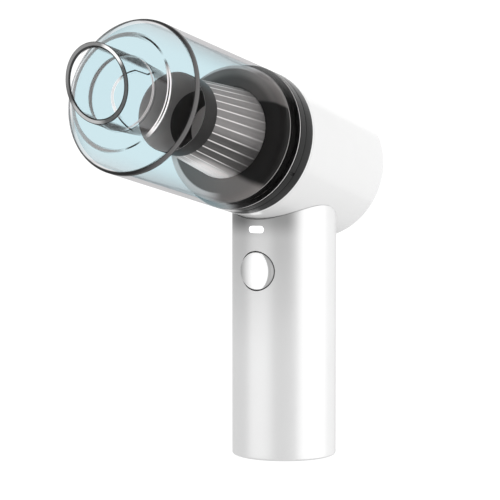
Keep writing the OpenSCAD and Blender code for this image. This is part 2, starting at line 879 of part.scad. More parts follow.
module rear_motor_mount() {
  color("#1a1a1a") on_head() difference() {
    ring(sleeve_r - seat, motor_r + seat / 2, motor_rear, motor_rear + mount_len - seat);
    lead_slot();
  }
}

// Handle

module head_bite(extra) {
  on_head() disc(head_r + extra, -head_d, collar_front + head_d);
}

module handle_shell() {
  color("Gainsboro") difference() {
    union() {
      difference() {
        turned(concat([[handle_in_r, 0]],
          arc_points(handle_r - handle_edge_r, handle_edge_r, handle_edge_r, -90, 0, arc_steps),
          [[handle_r, head_h], [handle_in_r, head_h]]));
        head_bite(saddle_gap);
      }
      // Sleeve that guides the button
      intersection() {
        translate([0, 0, button_z]) rotate([90, 0, 0])
          peg(button_hole_d / 2 + guide_wall, guide_back, handle_r - handle_wall / 2);
        cylinder(r = handle_r - handle_wall / 4, h = head_h, $fn = fine);
      }
    }
    translate([0, 0, button_z]) rotate([90, 0, 0]) disc(button_hole_d / 2, cut, handle_d);
    light_slot(light_w + 2 * lens_play, light_h + 2 * lens_play, cut, handle_d);
    translate([0, handle_r, port_z])
      cube([port_w + 2 * port_play, 4 * handle_wall, port_h + 2 * port_play], center = true);
  }
}

module handle_frame() {
  boss_r = screw_head_r + boss_wall;
  web_front = switch_board_y + neck_web_front;
  color("#2c2c2c") difference() {
    union() {
      disc(plate_r, frame_bottom, frame_bottom + frame_t);
      for (side = [-1, 1]) translate([0, side * base_screw_y, 0])
        peg(boss_r, frame_bottom, frame_bottom + base_boss_h);
      translate([0, spine_y + spine_t / 2, 0]) block(spine_w, spine_t, frame_bottom, frame_top);
      for (z = [board_bottom + board_post_h, board_top - 2 * board_post_h]) for (x = [-1, 1])
        translate([x * board_post_x, board_y - board_post / 2 - seat / 2, 0])
          block(board_post_w, board_post + seat, z, z + board_post_h);
      intersection() {
        disc(plate_r, frame_mid, frame_mid + frame_t);
        translate([0, (switch_board_y + board_y) / 2, 0])
          block(handle_d, board_y - switch_board_y - seat, frame_mid, frame_mid + frame_t);
      }
      for (side = [-1, 1]) translate([side * (cheek_x + cheek_t / 2), (switch_board_y + spine_y) / 2, 0])
        block(cheek_t, spine_y - switch_board_y, frame_mid, frame_top);
      translate([0, (spine_y + web_front) / 2, 0])
        block(2 * cheek_x + 2 * cheek_t, spine_y - web_front, frame_top - frame_t, frame_top);
    }
    for (side = [-1, 1]) translate([0, side * base_screw_y, 0])
      peg(screw_r + thread_fit, frame_bottom - cut, frame_bottom + base_boss_h + cut);
    neck_screw_places() peg(screw_r + thread_fit, frame_top - frame_t - cut, frame_top + cut);
    translate([0, spine_y + spine_t / 2, frame_mid + plug_hole_z])
      cube([plug_hole_w, 4 * spine_t, plug_hole_h], center = true);
  }
}

module neck_screws() {
  color("Silver") neck_screw_places() translate([0, 0, frame_top - frame_t - screw_head_h]) {
    cylinder(r = screw_head_r, h = screw_head_h - seat, $fn = small);
    cylinder(r = screw_r, h = neck_screw_len, $fn = small);
  }
}

module base_cap() {
  edge = 0.5;
  color("Gainsboro") difference() {
    turned([[0, 0], [plate_r - edge, 0], [plate_r, edge], [plate_r, base_cap_t], [0, base_cap_t]]);
    for (side = [-1, 1]) translate([0, side * base_screw_y, 0]) {
      peg(screw_head_r + seat, -cut, base_screw_sink + seat);
      peg(screw_r + seat, 0, base_cap_t + cut);
    }
  }
}

module base_screws() {
  color("Silver") for (side = [-1, 1]) translate([0, side * base_screw_y, base_screw_sink - screw_head_h]) {
    cylinder(r = screw_head_r, h = screw_head_h, $fn = small);
    cylinder(r = screw_r, h = base_screw_len, $fn = small);
  }
}

// Battery and boards

module cell(side) {
  nub_r = 3;
  nub_h = 1;
  color("SteelBlue") translate([side * cell_x, 0, cell_z]) {
    cylinder(d = cell_d, h = cell_len - nub_h - seat, $fn = fine);
    cylinder(r = nub_r, h = cell_len - seat - tab_t, $fn = small);
  }
}

module battery_left() {
  cell(-1);
}

module battery_right() {
  cell(1);
}

// Welded strip that joins the two cells over their tops
module battery_tabs() {
  color("Silver") block(2 * cell_x + tab_w, tab_w, cell_z + cell_len - tab_t, cell_z + cell_len);
}

module control_board() {
  color("DarkGreen") translate([0, board_y + board_t / 2 + seat, 0])
    block(board_w, board_t, board_bottom, board_top);
}

module charging_port() {
  y0 = board_y + board_t + 2 * seat;
  y1 = handle_r - port_sunk;
  color("Silver") translate([0, (y0 + y1) / 2, port_z]) difference() {
    cube([port_w, y1 - y0, port_h], center = true);
    translate([0, y1 - y0 - port_depth, 0])
      cube([port_w - 2 * port_wall, y1 - y0, port_h - 2 * port_wall], center = true);
  }
}

module switch_board() {
  color("DarkGreen") translate([0, switch_board_y - board_t / 2 - seat, 0])
    block(switch_board_w, board_t, switch_board_bottom, switch_board_top);
}

module power_switch() {
  color("#1e1e1e") difference() {
    translate([0, switch_t / 2 - switch_front, 0])
      block(switch_w, switch_t - seat, button_z - switch_w / 2, button_z + switch_w / 2);
    translate([0, 0, button_z]) rotate([90, 0, 0])
      peg(stem_r + play, stem_tip - button_travel - play, switch_front + cut);
  }
}

// Button with a domed face, a skirt, a stop flange and the stem that works the switch
module power_button() {
  stop_s = guide_back - play;
  flange_s = stop_s - flange_t;
  floor_s = button_face - button_face_t;
  skirt_r = button_r - button_wall;
  edge_s = button_face - button_edge_r - button_dome;
  color("White") translate([0, 0, button_z]) rotate([90, 0, 0]) turned(concat(
    [[0, stem_tip], [stem_r, stem_tip], [stem_r, floor_s], [skirt_r, floor_s], [skirt_r, flange_s],
      [button_r + flange_w, flange_s], [button_r + flange_w, stop_s], [button_r, stop_s]],
    arc_points(button_r - button_edge_r, edge_s, button_edge_r, 0, button_arc, arc_steps),
    [[0, button_face]]));
}

module light_chip() {
  color("LightYellow") translate([0, -switch_back - chip_t / 2, 0])
    block(chip_w, chip_t - seat, light_z - chip_h / 2, light_z + chip_h / 2);
}

module light_lens() {
  color("White") intersection() {
    light_slot(light_w, light_h, switch_back + chip_t + seat, handle_d);
    cylinder(r = handle_r, h = head_h, $fn = fine);
  }
}

// Two leads from the board through the neck to the motor's rear end
module motor_leads() {
  y = board_y + board_t / 2;
  under = -(motor_r + lead_r + spine_gap);
  past = 2 * cut;
  for (side = [-1, 1]) color(side < 0 ? "Crimson" : "#222222") wire([
    [side * lead_x, y, board_top + seat], [side * lead_x, y, neck_bottom + lead_rise],
    head_point(side * lead_x, under - cut, lead_bend_s),
    head_point(side * lead_x, under, motor_rear + past),
    head_point(side * lead_x, under, motor_rear - past),
    head_point(side * 2 * lead_x, -motor_r / 2, motor_rear - past),
    head_point(side * 2 * lead_x, -motor_r / 2, bell_s - seat)]);
}

dust_cup();
inlet_tube();
filter_cap();
pleated_filter();
filter_core();
filter_base();
filter_seal();
front_collar();
collar_screws();
intake_grille();
motor_housing();
rear_cover();
rear_cover_screws();
fan_shroud();
impeller();
motor_plate();
motor_can();
motor_magnets();
motor_end_bell();
front_bushing();
rear_bushing();
motor_shaft();
armature();
commutator();
motor_brushes();
rear_motor_mount();
handle_shell();
handle_frame();
neck_screws();
base_cap();
base_screws();
battery_left();
battery_right();
battery_tabs();
control_board();
charging_port();
switch_board();
power_switch();
power_button();
light_chip();
light_lens();
motor_leads();
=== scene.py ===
import json
import math
from functools import partialmethod

import bmesh
import bpy
import numpy as np
from mathutils import Matrix


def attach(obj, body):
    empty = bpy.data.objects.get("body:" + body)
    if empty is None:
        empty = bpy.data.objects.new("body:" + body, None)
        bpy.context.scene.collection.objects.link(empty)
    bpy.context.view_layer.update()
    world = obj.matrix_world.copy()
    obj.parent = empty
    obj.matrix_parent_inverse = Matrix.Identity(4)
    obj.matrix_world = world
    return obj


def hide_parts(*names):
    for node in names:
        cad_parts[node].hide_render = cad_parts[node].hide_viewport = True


# Cordless handheld car vacuum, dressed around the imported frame. Metres, Z up, nozzle towards -Y.
# Sizes in the pieces' dictionaries are in millimetres unless a note says otherwise.
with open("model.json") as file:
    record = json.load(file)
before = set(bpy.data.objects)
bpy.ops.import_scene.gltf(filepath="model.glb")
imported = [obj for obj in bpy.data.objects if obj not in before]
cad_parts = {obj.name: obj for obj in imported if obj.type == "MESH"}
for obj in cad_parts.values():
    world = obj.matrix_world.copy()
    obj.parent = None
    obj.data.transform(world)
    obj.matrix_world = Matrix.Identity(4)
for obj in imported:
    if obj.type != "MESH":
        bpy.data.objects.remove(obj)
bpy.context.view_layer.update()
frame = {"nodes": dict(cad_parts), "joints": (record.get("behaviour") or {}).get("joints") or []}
nodes = frame["nodes"]
joints = {joint["name"]: joint for joint in frame["joints"]}
print("frame loaded:", len(nodes), "nodes")

mm = 0.001
fullTurn = 2 * math.pi
clearance = 0.1  # between neighbouring pieces

# The head's own axes: across, up and along, from the handle's axis towards the nozzle
across = np.array([1.0, 0.0, 0.0])
along = np.array(joints["cup_slide"]["axis"])
upward = np.cross(along, across)
headCentre = np.array(joints["rotor_spin"]["pos_m"])
headAxes = (headCentre, across, upward, along)
# The upright handle's axes
backward, skyward = np.array([0.0, 1.0, 0.0]), np.array([0.0, 0.0, 1.0])
handleAxes = (np.zeros(3), across, backward, skyward)


def nodePoints(name):
    co = np.zeros(len(nodes[name].data.vertices) * 3, np.float32)
    nodes[name].data.vertices.foreach_get("co", co)
    return co.reshape(-1, 3).astype(float)


def headSize(name):
    # How far a node reaches along the head's axis, and its largest radius, in millimetres
    away = (nodePoints(name) - headCentre) / mm
    stations = away @ along
    radii = np.hypot(away @ across, away @ upward)
    return stations.min(), stations.max(), radii.max()


def middleHeight(name):
    heights = nodePoints(name)[:, 2] / mm
    return (heights.min() + heights.max()) / 2


headRadius = headSize("front_collar")[2]
handleRadius = nodePoints("handle_shell")[:, 0].max() / mm

# Meshes

straightAngle = 1.55  # half angle past which a corner counts as straight
sideShare = 0.49  # most of a side that a rounding takes
mergeDistance = 1e-7


def rounded(corners, steps=6):
    # Each corner (station, radius, rounding, tone) becomes an arc that is tangent to its two sides.
    # An arc's points are sums of its two ends seen from its centre, by the sines of the angle left and gone.
    corners = [tuple(corner) + (0.0,) * (4 - len(corner)) for corner in corners]
    spots = np.array(corners, float)
    path, tones = [], []
    for i, (_, _, rounding, tone) in enumerate(corners):
        spot = spots[i, :2]
        before = spots[i - 1, :2] - spot
        after = spots[(i + 1) % len(spots), :2] - spot
        reach = min(np.linalg.norm(before), np.linalg.norm(after))
        before, after = before / np.linalg.norm(before), after / np.linalg.norm(after)
        half = 0.5 * math.acos(np.clip(before @ after, -1, 1))
        if rounding <= 0 or half > straightAngle:
            path.append(spot[None])
            tones.append([tone])
            continue
        cut = min(rounding / math.tan(half), sideShare * reach)
        centre = spot + (before + after) / np.linalg.norm(before + after) * cut / math.cos(half)
        bend = math.pi - 2 * half
        gone = np.linspace(0, 1, steps + 1)[:, None]
        first, last = spot + before * cut - centre, spot + after * cut - centre
        arc = (np.sin((1 - gone) * bend) * first + np.sin(gone * bend) * last) / math.sin(bend)
        path.append(centre + arc)
        tones.append(np.full(steps + 1, tone))
    return np.vstack(path), np.concatenate(tones)


def gridFaces(rows, columns, wrapRows, wrapColumns):
    # Quads between neighbouring rows and columns of a grid of points
    row = np.arange(rows if wrapRows else rows - 1)[:, None]
    column = np.arange(columns if wrapColumns else columns - 1)[None, :]
    nextRow, nextColumn = (row + 1) % rows, (column + 1) % columns
    corners = [row * columns + column, nextRow * columns + column,
               nextRow * columns + nextColumn, row * columns + nextColumn]
    return np.stack([c + np.zeros_like(corners[0]) for c in corners], -1).reshape(-1, 4)


def outwards(points, faces):
    # Six times the volume inside the faces; a negative one means that they point inwards
    a, b, c, d = (points[faces[:, k]] for k in range(4))
    volume = (a * np.cross(b, c)).sum() + (a * np.cross(c, d)).sum()
    return faces if volume > 0 else faces[:, ::-1]


def newObject(name, data):
    thing = bpy.data.objects.new(name, data)
    bpy.context.scene.collection.objects.link(thing)
    return thing


def meshPiece(name, points, faces, tones=None, sharpAngle=35):
    mesh = bpy.data.meshes.new(name)
    mesh.from_pydata(points.tolist(), [], outwards(points, faces).tolist())
    if tones is not None:
        attribute = mesh.attributes.new("tone", "FLOAT", "POINT")
        attribute.data.foreach_set("value", np.asarray(tones, np.float32))
    cleaner = bmesh.new()
    cleaner.from_mesh(mesh)
    bmesh.ops.remove_doubles(cleaner, verts=cleaner.verts, dist=mergeDistance)
    bmesh.ops.dissolve_degenerate(cleaner, dist=mergeDistance / 10, edges=cleaner.edges)
    cleaner.to_mesh(mesh)
    cleaner.free()
    mesh.shade_smooth()
    mesh.set_sharp_from_angle(angle=math.radians(sharpAngle))
    return newObject(name, mesh)


def placed(axes, acrossBy, upBy, alongBy):
    # Points given across, up and along an axis, in millimetres, as points of the frame in metres
    centre, x, y, z = axes
    return centre + mm * (acrossBy[..., None] * x + upBy[..., None] * y + alongBy[..., None] * z)


def turned(name, corners, axes=headAxes, segments=192, steps=6, shift=None, closed=True):
    # A profile of (station, radius) turned round an axis: point = (radius cos, radius sin, station).
    # shift(radius cos, radius sin, station) may move the points, as whole arrays.
    path, tones = rounded(corners, steps)
    angle = np.linspace(0, fullTurn, segments, endpoint=False)[:, None]
    x, y = path[:, 1] * np.cos(angle), path[:, 1] * np.sin(angle)
    z = np.broadcast_to(path[:, 0], x.shape)
    if shift:
        x, y, z = shift(x, y, z)
    points = placed(axes, x, y, z).reshape(-1, 3)
    faces = gridFaces(segments, len(path), True, closed)
    return meshPiece(name, points, faces, np.broadcast_to(tones, x.shape).ravel())


def dress(piece, body, slot, material, *replaced):
    piece.data.materials.clear()
    piece.data.materials.append(material)
    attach(piece, body)
    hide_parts(*replaced)


# Shader sums

class Wire:
    # A node's output socket; sums on it add Math nodes

    def __init__(self, paint, socket):
        self.paint, self.socket = paint, socket

    def maths(self, operation, other, swapped=False):
        pair = (other, self) if swapped else (self, other)
        return self.paint.add("Math", {"operation": operation}, {0: pair[0], 1: pair[1]})

    __add__ = __radd__ = partialmethod(maths, "ADD")
    __mul__ = __rmul__ = partialmethod(maths, "MULTIPLY")
    __sub__ = partialmethod(maths, "SUBTRACT")
    __rsub__ = partialmethod(maths, "SUBTRACT", swapped=True)
    __truediv__ = partialmethod(maths, "DIVIDE")
    __pow__ = partialmethod(maths, "POWER")

    def eased(self, low, high):
        # 0 below low, 1 above high, and a smooth rise between them
        return self.paint.add("MapRange", {"interpolation_type": "SMOOTHSTEP"}, {
            "Value": self, "From Min": low, "From Max": high, "To Min": 0.0, "To Max": 1.0})

    def fading(self, low, high):
        # 1 below low, 0 above high
        return 1.0 - self.eased(low, high)

    def filling(self, least, low, high):
        # least below low, 1 above high
        return least + self.eased(low, high) * (1 - least)

    def blend(self, first, second):
        # The first colour where this is 0, the second where it is 1
        return self.paint.add("Mix", {"data_type": "RGBA"},
                              {0: self, 6: opaque(first), 7: opaque(second)}, out=2)

    def mixed(self, first, second):
        return self.paint.add("MixShader", {}, {0: self, 1: first, 2: second})

    def bump(self, strength, distance):
        return self.paint.add("Bump", {}, {
            "Height": self, "Strength": strength, "Distance": distance})


def opaque(colour):
    # A wire as it is; a grey, or red, green and blue, with full cover
    if isinstance(colour, Wire):
        return colour
    return (colour, colour, colour, 1) if np.isscalar(colour) else (*colour, 1)


def layered(colour, *layers):
    # Each layer is a mask and the colour that it lays over those before
    for mask, over in layers:
        colour = mask.blend(colour, over)
    return colour


class Paint:
    # One material, or the world, and its nodes

    def __init__(self, name, block=None):
        self.block = block or bpy.data.materials.new(name)
        self.block.use_nodes = True
        self.tree = self.block.node_tree
        self.tree.nodes.clear()
        self.place = self.add("TexCoord", out="Generated" if block else "Object")

    def add(self, kind, settings=None, sockets=None, out=0):
        node = self.tree.nodes.new("ShaderNode" + kind)
        for key, value in (settings or {}).items():
            setattr(node, key, value)
        for key, value in (sockets or {}).items():
            if isinstance(value, Wire):
                self.tree.links.new(value.socket, node.inputs[key])
            else:
                node.inputs[key].default_value = value
        return Wire(self, node.outputs[out])

    def noise(self, scale, detail=3.0, roughness=0.55, vector=None):
        return self.add("TexNoise", {}, {
            "Vector": vector or self.place, "Scale": scale, "Detail": detail, "Roughness": roughness})

    def split(self):
        return [self.add("SeparateXYZ", {}, {"Vector": self.place}, out=k) for k in range(3)]

    def headPlace(self):
        # Station along the head, the spot across and above its axis, and the radius, in millimetres
        away = self.add("VectorMath", {"operation": "SUBTRACT"}, {0: self.place, 1: headCentre})
        station, x, y = (
            self.add("VectorMath", {"operation": "DOT_PRODUCT"}, {0: away, 1: axis / mm}, out=1)
            for axis in (along, across, upward))
        return station, x, y, (x * x + y * y) ** 0.5

    def tone(self):
        return self.add("Attribute", {"attribute_name": "tone"}, out="Fac")

    def see(self, colour):
        # Nothing but a see-through colour
        return self.add("BsdfTransparent", {}, {"Color": opaque(colour)})

    def surface(self, colour, roughness, more=None):
        return self.add("BsdfPrincipled", {}, {
            "Base Color": opaque(colour), "Roughness": roughness, **(more or {})})

    def finish(self, shader, output="OutputMaterial"):
        self.tree.links.new(shader.socket, self.tree.nodes.new("ShaderNode" + output).inputs["Surface"])
        return self.block


def behindCup(level):
    # Gloss on what sits behind the cup's tint, warmed so that it reads neutral through it
    return {"Specular IOR Level": level, "Specular Tint": (1.0, 0.95, 0.94, 1)}


def moulded(name, colour, roughness, metallic=0.0, mottle=0.06):
    # Moulded plastic or metal: a cloudy tint, worn-in gloss that varies, and a fine spark-eroded grain
    paint = Paint(name)
    tint = opaque(colour)[:3]
    dark = [c * (1 - mottle) for c in tint]
    light = [min(1, c * (1 + mottle)) for c in tint]
    gloss = roughness + (paint.noise(260.0) - 0.5) * roughness * 0.35
    return paint.finish(paint.surface(paint.noise(90.0, 4.0).blend(dark, light), gloss, {
        "Metallic": metallic,
        "Normal": paint.noise(1500.0, 2.0).bump(0.02, 0.0004),
    }))


def ringMask(place, station, radius, width):
    # 1 within width of a circle round the head's axis, fading out just beyond it
    out, ahead = place[3] - radius, place[0] - station
    return ((out * out + ahead * ahead) ** 0.5).fading(width * 0.75, width * 1.1)


def arcMask(place, centre, half, soft):
    # 1 within half of an angle round the head's axis, with soft ends: compares the cosine of the angle
    _, x, y, radius = place
    turn = math.radians(centre)
    cosine = (x * math.cos(turn) + y * math.sin(turn)) / radius
    low, high = math.cos(math.radians(min(half + soft, 180))), math.cos(math.radians(max(half - soft, 0)))
    return cosine.eased(low, high)


def joined(mask, cover):
    # What either of two covers hides
    return mask + cover - mask * cover


def near(edge, reach):
    # Where a soft step starts and ends, from its edge and the two distances from it
    return edge + reach[0], edge + reach[1]


# glow: how brightly the painted lines on the clear pieces glow, a painted light
clear = {
    "tintAngle": 168.0, "tintFromTo": (-0.4, 0.15), "tintStep": (-0.5, 0.5),
    "gloss": 0.1, "glossFromTo": (0.6, 1.0), "glossRoughness": 0.03,
    "edgeGloss": 0.15, "edgeRoughness": 0.3, "glow": 0.25,
}
# Tones of the clear pieces: below 0 on inner surfaces, 0 on outer ones, and more at the tube's edges
inside = -1.0
outerEnd, endBorder, innerEnd, innerBorder = 0.6, 0.3, 0.44, 0.33
lipTone, behindLip = 1.0, 0.2
# The steps between those tones by which the finish tells them apart
outerFrom, outerEndFrom, lipFrom = (-0.6, -0.4), (0.53, 0.57), (0.75, 0.9)


def clearBody(paint, place, outside, look):
    # The see-through part: a tint, grey and then a darker line at a glancing look, and a hard gloss
    station, x, y, radius = place
    glance = paint.add("LayerWeight", {}, {"Blend": 0.5}, out="Facing")
    # The cup's tint is full on its left half and thins out on its right; its face and shoulder are clear
    turn = math.radians(clear["tintAngle"])
    leftness = (x * math.cos(turn) + y * math.sin(turn)) / radius
    tinted = leftness.filling(look["tintLeast"], *clear["tintFromTo"])
    tinted = tinted * station.fading(*near(look["tintTo"], clear["tintStep"]))
    ahead = station.eased(*look["lineFrom"]) * outside
    body = tinted.mixed(paint.see(1.0), paint.see(look["tint"]))
    body = (glance.eased(*look["greyFromTo"]) * ahead).mixed(body, paint.see(look["grey"]))
    first, peak, last = look["wallLine"]
    line = glance.eased(first, peak) * (1.0 - glance.eased(peak, last) * (1 - look["wallKeep"]))
    body = (line * ahead).mixed(body, paint.see(look["wall"]))
    gloss = paint.add("BsdfGlossy", {}, {"Color": (1, 1, 1, 1), "Roughness": clear["glossRoughness"]})
    return (glance.eased(*clear["glossFromTo"]) * clear["gloss"]).mixed(body, gloss)


def lipLines(paint, place, lip, colour, cover):
    # The mouth's lip: painted shade, grey between two dark borders, with painted highlights along it
    away = (place[3] - lip["middle"]) / lip["half"]
    mask = paint.tone().eased(*lipFrom)
    light = lip["core"]
    for centre, half, soft, shade, share in lip["arcs"]:
        light = (arcMask(place, centre, half, soft) * share).blend(light, shade)
    band = (away * away).fading(*lip["coreFade"]).blend(lip["border"], light)
    return mask.blend(colour, band), mask * lip["share"] + cover - mask * cover


def endLines(paint, place, end, colour, cover):
    # The line round the tube's inner end: a painted highlight, white on its left, and painted shade, black
    # above and below
    tone = paint.tone()
    rim = tone.eased(endBorder - 0.02, innerBorder) * place[0].fading(*end["until"])
    white = arcMask(place, *end["white"])
    blacks = [arcMask(place, *arc) for arc in end["blacks"]]
    black = (blacks[0] + blacks[1]) * tone.eased(*outerEndFrom)
    colour = rim.blend(colour, white.blend(end["dark"], 1.0))
    return colour, joined(rim * (white + black) * end["share"], cover)


def clearPlastic(name, look):
    # Clear moulded plastic, with painted dark and light lines where the wall turns: painted shade and painted
    # highlights, which also glow faintly as a painted light
    paint = Paint(name)
    place = paint.headPlace()
    outside = paint.tone().eased(*outerFrom)
    colour, cover = 0.1, 0.0
    for (station, radius), strokes in look["lines"]:
        for width, centre, half, soft, shade, share in strokes:
            mask = ringMask(place, station, radius, width) * share * outside
            mask = mask * arcMask(place, centre, half, soft)
            colour = mask.blend(colour, (shade, shade * look["warm"], shade * look["warm"]))
            cover = joined(mask, cover)
    if "lip" in look:
        colour, cover = lipLines(paint, place, look["lip"], colour, cover)
        colour, cover = endLines(paint, place, look["end"], colour, cover)
    # The painted lines glow faintly: a painted light
    edge = paint.surface(colour, clear["edgeRoughness"] + paint.noise(140.0) * 0.1, {
        "Specular IOR Level": clear["edgeGloss"],
        "Emission Color": colour,
        "Emission Strength": clear["glow"],
    })
    return paint.finish(cover.mixed(clearBody(paint, place, outside, look), edge))


print("tools ready")

# Dust cup: the clear shell with its sloping shoulder and flat face

cup = {
    "wall": 1.75, "shoulder": 8.0, "faceRadius": 24.3, "edgeRound": 1.3, "creaseRound": 0.9,
    "rimRound": 0.4, "holeRadius": 15.75, "holeRound": 0.15, "innerEdgeRound": 0.78,
}
# Circles that the lines follow, by station and radius
shoulderLine, creaseLine, slopeLine, rearLine = (119.15, 32.7), (127.2, 24.3), (124.0, 27.6), (39.8, 32.7)
# A line's strokes, each a painted shade or a painted highlight along an edge of the clear wall: width, middle
# angle, half angle, softness, shade, share
cupLook = {
    "tint": (0.757, 0.856, 0.882), "tintLeast": 0.0, "tintTo": 118.6, "grey": (0.73, 0.725, 0.73),
    "greyFromTo": (0.5, 0.84), "wall": (0.62, 0.61, 0.615), "wallLine": (0.735, 0.767, 0.8),
    "wallKeep": 0.15, "lineFrom": (30.0, 34.0), "warm": 0.97,
    "lines": [
        (shoulderLine, [
            (1.5, 180, 66, 22, 0.22, 0.8), (0.45, 165, 34, 16, 0.98, 0.9), (1.4, 0, 118, 25, 0.01, 1.0),
            (1.9, 262, 42, 18, 0.01, 1.0), (1.9, 80, 40, 18, 0.014, 1.0), (1.1, -14, 46, 22, 0.13, 0.9),
        ]),
        (creaseLine, [(1.3, 130, 55, 18, 0.2, 0.85), (1.2, 215, 42, 18, 0.3, 0.8)]),
        (slopeLine, [(2.0, 176, 28, 12, 0.98, 0.8)]),
        (creaseLine, [
            (0.42, 58, 13, 8, 0.01, 1.0), (0.55, 22, 8, 5, 0.01, 1.0), (0.95, -12, 34, 10, 0.98, 1.0),
            (0.3, -8, 22, 14, 0.01, 1.0), (0.6, 255, 20, 12, 0.3, 0.85), (0.35, 294, 6, 5, 0.01, 1.0),
        ]),
        (rearLine, [(0.5, -10, 75, 20, 0.6, 0.9)]),
    ],
}


def makeCup():
    rear, front, outer = headSize("dust_cup")
    wall, corner = cup["wall"], front - cup["shoulder"]
    inner, inFace = outer - wall, front - wall
    slope = (outer - cup["faceRadius"]) / cup["shoulder"]
    inCorner = corner - wall * slope / 2
    inCrease = cup["faceRadius"] - wall / 2
    return turned("cup_shell", [
        (rear, outer, cup["rimRound"]), (corner, outer, cup["edgeRound"]),
        (front, cup["faceRadius"], cup["creaseRound"]), (front, cup["holeRadius"], cup["holeRound"]),
        (inFace, cup["holeRadius"], cup["holeRound"], inside),
        (inFace, inCrease, cup["creaseRound"], inside), (inCorner, inner, cup["innerEdgeRound"], inside),
        (rear, inner, cup["rimRound"], inside),
    ])


dress(makeCup(), "cup", "clear_cup", clearPlastic("clear_cup_plastic", cupLook), "dust_cup")
print("dust cup made")

# Inlet tube: the clear nozzle with a slanted mouth, and its tapered inner end with a cut-back window

tube = {
    "radius": 15.7, "boreRadius": 14.1, "slant": 19.0, "nozzle": 15.8, "endRadius": 14.0, "endWall": 1.4,
    "endBand": 0.9, "flangeWidth": 0.35, "flangeThick": 0.8, "flangeRamp": 0.6, "flangeRound": 0.2,
    "mouthBead": 0.6, "beadLength": 6.5, "lipRound": 0.5, "windowMiddle": 155.0, "windowReach": 12.0,
    "windowStart": -0.5, "windowFrom": 110.0, "windowCorner": 1.2, "windowFade": 15.0,
    "outerEndRound": 0.35, "innerEndRound": 0.3, "bandStep": 0.1, "boreDepth": 5.0, "lipDepth": 0.55,
    "faceSteps": (0.05, 0.4),  # points of the outer skin where it starts to lean, just before the cup's face
    "beadSteps": ((1.1, 0.7, behindLip), (1.3, 0.6, inside)),  # how far in, share of the bead, tone
}
tubeRoot = (126.2, 15.6)
tubeLook = {
    "tint": (0.985, 0.992, 0.995), "tintLeast": 1.0, "tintTo": 160.0, "grey": (0.62, 0.6, 0.6),
    "greyFromTo": (0.59, 0.645), "wall": (0.38, 0.352, 0.345), "wallLine": (0.615, 0.655, 0.95),
    "wallKeep": 0.6, "lineFrom": (108.0, 116.0), "warm": 0.96,
    # Painted shade and painted highlights round the tube's root at the cup's face
    "lines": [(tubeRoot, [
        (1.6, 160, 62, 24, 0.2, 0.9), (0.9, 165, 85, 20, 0.2, 0.9),
        (0.8, 0, 75, 20, 0.9, 0.75), (0.3, 0, 60, 20, 0.15, 0.8),
    ])],
    # The lip's painted shade, with painted highlights along it
    "lip": {
        "middle": 14.8, "half": 0.88, "share": 0.97, "core": (0.08, 0.078, 0.077),
        "border": (0.008, 0.008, 0.009), "coreFade": (0.3, 0.75),
        # Light along the lip: middle angle, half angle, softness, shade, share
        "arcs": [(120, 62, 26, 0.21, 1.0), (243, 30, 12, 0.6, 0.75), (50, 19, 8, 1.0, 0.95)],
    },
    # Painted highlight and painted shade round the tube's inner end
    "end": {
        "until": (119.0, 121.0), "white": (172, 34, 8), "blacks": [(117, 22, 5), (221, 14, 5)],
        "dark": (0.012, 0.012, 0.014), "share": 0.95,
    },
}


def makeTube():
    rear, face = headSize("inlet_tube")[0], headSize("dust_cup")[1]
    mouth = face + tube["nozzle"]
    behind = face - cup["wall"] - clearance
    outer, bore, bead = tube["radius"], tube["boreRadius"], tube["mouthBead"]
    flange, flangeRear = outer + tube["flangeWidth"], behind - tube["flangeThick"]
    outEnd, inEnd, band = tube["endRadius"], tube["endRadius"] - tube["endWall"], rear + tube["endBand"]
    slope = math.tan(math.radians(tube["slant"]))
    ramp, rampRadius = flangeRear - tube["flangeRamp"], outer - tube["flangeWidth"]
    swell = (rampRadius - outEnd) / (ramp - rear)
    past = band + tube["bandStep"]

    def shift(x, y, z):
        # The mouth leans: a station gains height times slope, in full at the mouth and none at the face.
        # The window is a slanting cut that draws the inner end's points forwards by the cosine of the angle
        # from its middle, with a step at its upper end
        lean = np.clip((z - face) / (mouth - face), 0, 1) * y * slope
        angle = np.degrees(np.arctan2(y, x)) % 360
        cut = tube["windowReach"] * np.cos(np.radians(angle - tube["windowMiddle"])) + tube["windowStart"]
        step = np.clip((angle - tube["windowFrom"]) / tube["windowCorner"], 0, 1)
        back = np.clip((rear + tube["windowFade"] - z) / tube["windowFade"], 0, 1)
        return x, y, z + lean + np.clip(cut, 0, None) * step * back

    return turned("inlet_nozzle", [
        (rear, outEnd, tube["outerEndRound"], outerEnd),
        (band, outEnd + (band - rear) * swell, 0.0, endBorder), (past, outEnd + (past - rear) * swell),
        (ramp, rampRadius, tube["flangeRound"]),
        (flangeRear, flange, tube["flangeRound"]), (behind, flange, tube["flangeRound"]),
        (behind, outer, 0.1),
        *[(face + step, outer) for step in tube["faceSteps"]],
        (mouth - tube["lipDepth"], outer),
        (mouth, outer, tube["lipRound"], lipTone), (mouth, bore - bead, tube["lipRound"], lipTone),
        *[(mouth - depth, bore - bead * share, 0.0, tone) for depth, share, tone in tube["beadSteps"]],
        (mouth - tube["beadLength"], bore, 0.0, inside), (face - tube["boreDepth"], bore, 0.0, inside),
        (past, inEnd, 0.0, inside), (band, inEnd, 0.0, innerBorder),
        (rear, inEnd, tube["innerEndRound"], innerEnd),
    ], segments=384, shift=shift)


dress(makeTube(), "cup", "clear_cup", clearPlastic("clear_tube_plastic", tubeLook), "inlet_tube")
print("inlet tube made")

# Filter cap: dark, with a deep funnel in two slopes

cap = {"mouthRadius": 16.9, "lipRound": 0.35, "crease": 18.4, "creaseRadius": 13.5, "floorRadius": 11.0,
       "depth": 31.0, "wall": 0.8}
